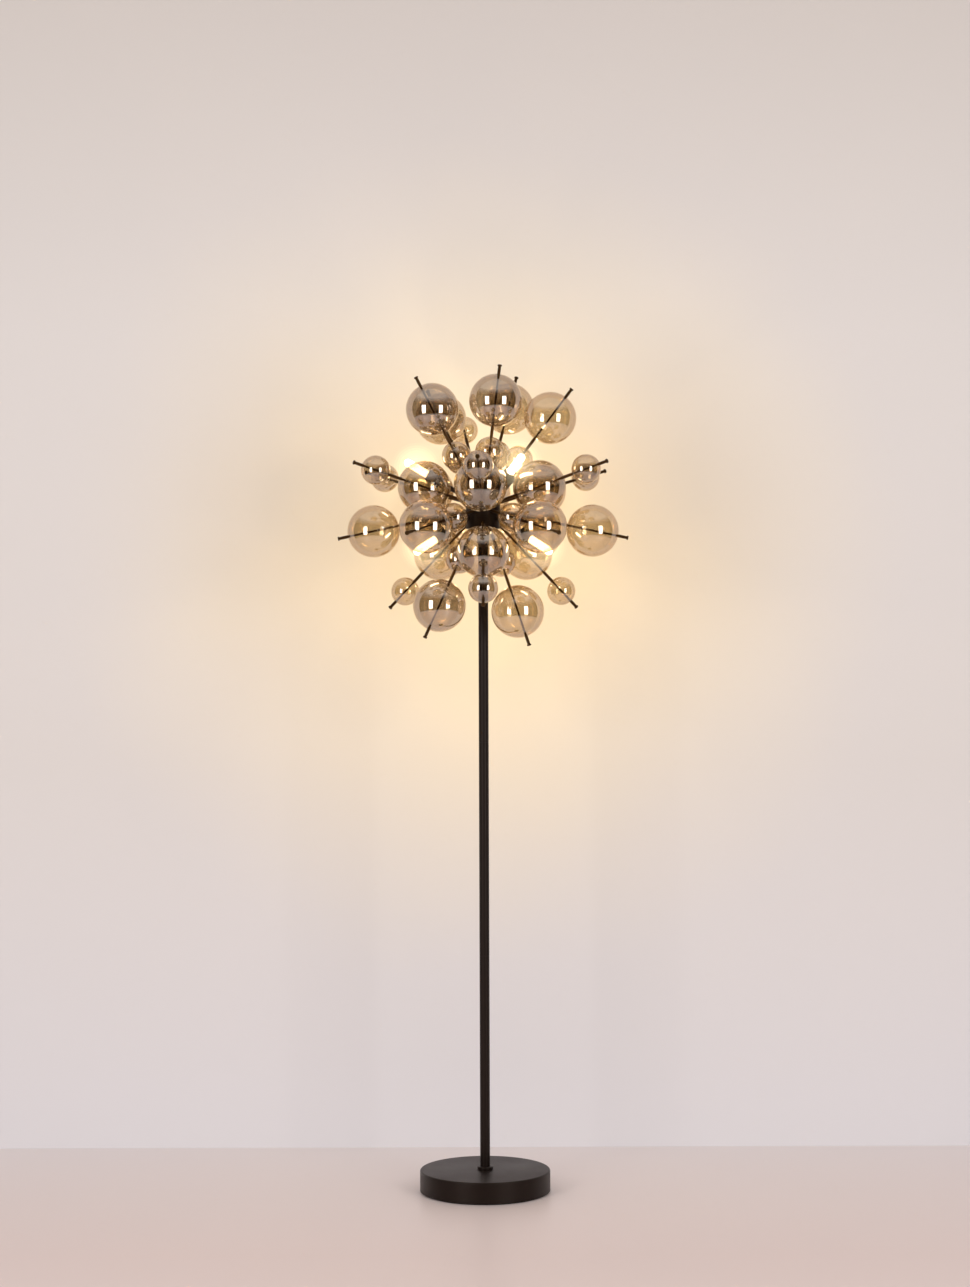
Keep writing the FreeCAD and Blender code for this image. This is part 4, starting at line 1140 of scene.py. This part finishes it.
def wall_paint():
    """Pale backdrop with painted light and shade: the bulbs' warm glow painted round the head of
    the lamp, painted shade that makes it a little darker high up, and painted light that makes it
    lighter and cooler near the floor.
    """
    finish = Finish("wall_paint")
    paint = colours()
    upper_from, upper_full = 1.7, 2.4
    lower_full, lower_to = 0.1, 0.8
    full_glow, no_glow = 0.30, 1.0
    below_hub = 80 * MM
    edges_per_metre = 2.2
    raggedness = 0.2
    falloff = 1.5
    height = finish.along("Z")
    shade = cloudy(finish, paint.wall)
    # Painted shade: the wall turns a little darker high up.
    painted_shade_share = finish.spread(height, upper_from, upper_full, 0.0, 1.0)
    shade = finish.blend(painted_shade_share, shade, paint.painted_upper_shade)
    # Painted light: the wall turns lighter and cooler near the floor.
    painted_light_share = finish.spread(height, lower_full, lower_to, 1.0, 0.0)
    shade = finish.blend(painted_light_share, shade, paint.painted_low_light)
    # Painted light: the bulbs' warm glow, painted round a point a little below the hub and fading
    # outwards.
    head = (0, WALL_DISTANCE, HUB.z - below_hub)
    apart = {0: finish.place(), 1: head}
    distance = finish.node("ShaderNodeVectorMath", {"operation": "DISTANCE"}, apart, "Value")
    reach = distance + finish.noise(edges_per_metre, detail=1) * raggedness
    painted_glow_share = finish.spread(reach, full_glow, no_glow, 1.0, 0.0) ** falloff
    return one_sided(finish, finish.blend(painted_glow_share, shade, paint.painted_bulb_glow), roughness=0.85)


def floor_paint():
    """Pale floor, with painted light that makes it a little lighter where it meets the wall, that
    fades away far out.
    """
    finish = Finish("floor_paint")
    paint = colours()
    lighter_from = -0.5
    fade_from, fade_to = 2.5, 3.8
    # Painted light: the floor turns lighter towards the wall.
    far = finish.spread(finish.along("Y"), lighter_from, WALL_DISTANCE, 0.0, 1.0)
    shade = finish.blend(far, cloudy(finish, paint.floor), paint.painted_far_floor_light)
    from_middle = {0: finish.place()}
    distance = finish.node("ShaderNodeVectorMath", {"operation": "LENGTH"}, from_middle, "Value")
    gone = finish.spread(distance, fade_from, fade_to, 0.0, 1.0)
    return one_sided(finish, shade, roughness=0.38, gone=gone)


def dark_screen():
    """Dark screen round the front of the studio, which only mirrors see."""
    radius = 3.4
    bottom = 0.02
    fade_from = 2.9
    top = 4.9
    half_turn = 95
    step = 5
    angles = [math.radians(angle) for angle in range(-half_turn, half_turn + 1, step)]
    foot = [(radius * math.sin(a), -radius * math.cos(a), bottom) for a in angles]
    head = [(x, y, top) for x, y, _ in foot]
    count = len(angles)
    faces = [(i + 1, i, i + count, i + 1 + count) for i in range(count - 1)]
    mesh = bpy.data.meshes.new("dark_screen")
    mesh.from_pydata(foot + head, [], faces)
    finish = Finish("screen_cloth")
    cloth = finish.node("ShaderNodeBsdfDiffuse", {}, {"Color": (*colours().screen, 1)})
    fade = finish.spread(finish.along("Z"), fade_from, top, 0.0, 1.0)
    mesh.materials.append(finish.end(finish.mix(fade, cloth, finish.clear())))
    screen = add_object("dark_screen", mesh)
    screen.visible_camera = False
    screen.visible_diffuse = False
    screen.visible_shadow = False
    screen.visible_transmission = False
    return screen


def add_room(context):
    """Even light all round, and a pale view where nothing stands for eyes and mirrors."""
    room = Shading(bpy.data.worlds.new("room"))
    ambient = {"Color": (*colours().room, 1), "Strength": sizes().ambient}
    light = room.node("ShaderNodeBackground", {}, ambient)
    view = room.node("ShaderNodeBackground", {}, {"Color": (*colours().wall, 1), "Strength": 1.0})
    seen = room.node("ShaderNodeLightPath", output="Is Camera Ray")
    for kind in ("Is Glossy Ray", "Is Transmission Ray"):
        seen = seen.or_more(room.node("ShaderNodeLightPath", output=kind))
    context.scene.world = room.end(room.mix(seen, light, view), "ShaderNodeOutputWorld")


def add_lamps():
    """Two tall soft lamps, left and right of the camera."""
    distance = 3.0
    level = 1.35
    width = 0.85
    height = 1.7
    turn = 37
    for name, azimuth in (("soft_left", -turn), ("soft_right", turn)):
        lamp = bpy.data.lights.new(name, "AREA")
        lamp.shape = "RECTANGLE"
        lamp.size = width
        lamp.size_y = height
        lamp.energy = sizes().lamp_power
        lamp.color = colours().soft_lamp
        holder = bpy.data.objects.new(name, lamp)
        angle = math.radians(azimuth)
        place = Vector((distance * math.sin(angle), -distance * math.cos(angle), level))
        aim = Vector((0, 0, HUB.z)) - place
        holder.location = place
        holder.rotation_euler = aim.to_track_quat("-Z", "Y").to_euler()
        bpy.context.scene.collection.objects.link(holder)


def add_camera(context):
    """Level camera in front of the lamp, as the photograph was taken."""
    place = (0.003, -4.747, 1.051)
    roll = math.radians(0.19)
    focal_length = 69.15
    film_width = 36
    lens = bpy.data.cameras.new("camera")
    lens.lens = focal_length
    lens.sensor_width = film_width
    camera = bpy.data.objects.new("camera", lens)
    camera.location = place
    camera.rotation_euler = (math.pi / 2, roll, 0)
    context.scene.collection.objects.link(camera)
    context.scene.camera = camera


# ----------------------------------------------------------------------------- panel


PIECES = [
    LAMP_OT_foot,
    LAMP_OT_column,
    LAMP_OT_hub,
    LAMP_OT_rods,
    LAMP_OT_globes,
    LAMP_OT_holders,
    LAMP_OT_bulbs,
    LAMP_OT_stage,
]


class LAMP_PT_panel(bpy.types.Panel):
    """Sizes, colours and pieces of the lamp"""

    bl_idname = "LAMP_PT_panel"
    bl_label = "Globe floor lamp"
    bl_space_type = "VIEW_3D"
    bl_region_type = "UI"
    bl_category = "Lamp"

    def draw(self, context):
        layout = self.layout
        for group in (context.scene.lamp_sizes, context.scene.lamp_colours):
            for name in group.__annotations__:
                layout.prop(group, name)
        for operator in PIECES:
            layout.operator(operator.bl_idname)


CLASSES = [LampSizes, LampColours, *PIECES, LAMP_PT_panel]


def register():
    for thing in CLASSES:
        bpy.utils.register_class(thing)
    bpy.types.Scene.lamp_sizes = bpy.props.PointerProperty(type=LampSizes)
    bpy.types.Scene.lamp_colours = bpy.props.PointerProperty(type=LampColours)


def unregister():
    del bpy.types.Scene.lamp_colours
    del bpy.types.Scene.lamp_sizes
    for thing in reversed(CLASSES):
        bpy.utils.unregister_class(thing)


def main():
    register()
    bpy.ops.lamp.foot()
    bpy.ops.lamp.column()
    bpy.ops.lamp.hub()
    bpy.ops.lamp.rods()
    bpy.ops.lamp.globes()
    bpy.ops.lamp.holders()
    bpy.ops.lamp.bulbs()
    bpy.ops.lamp.stage()


if __name__ == "__main__":
    main()
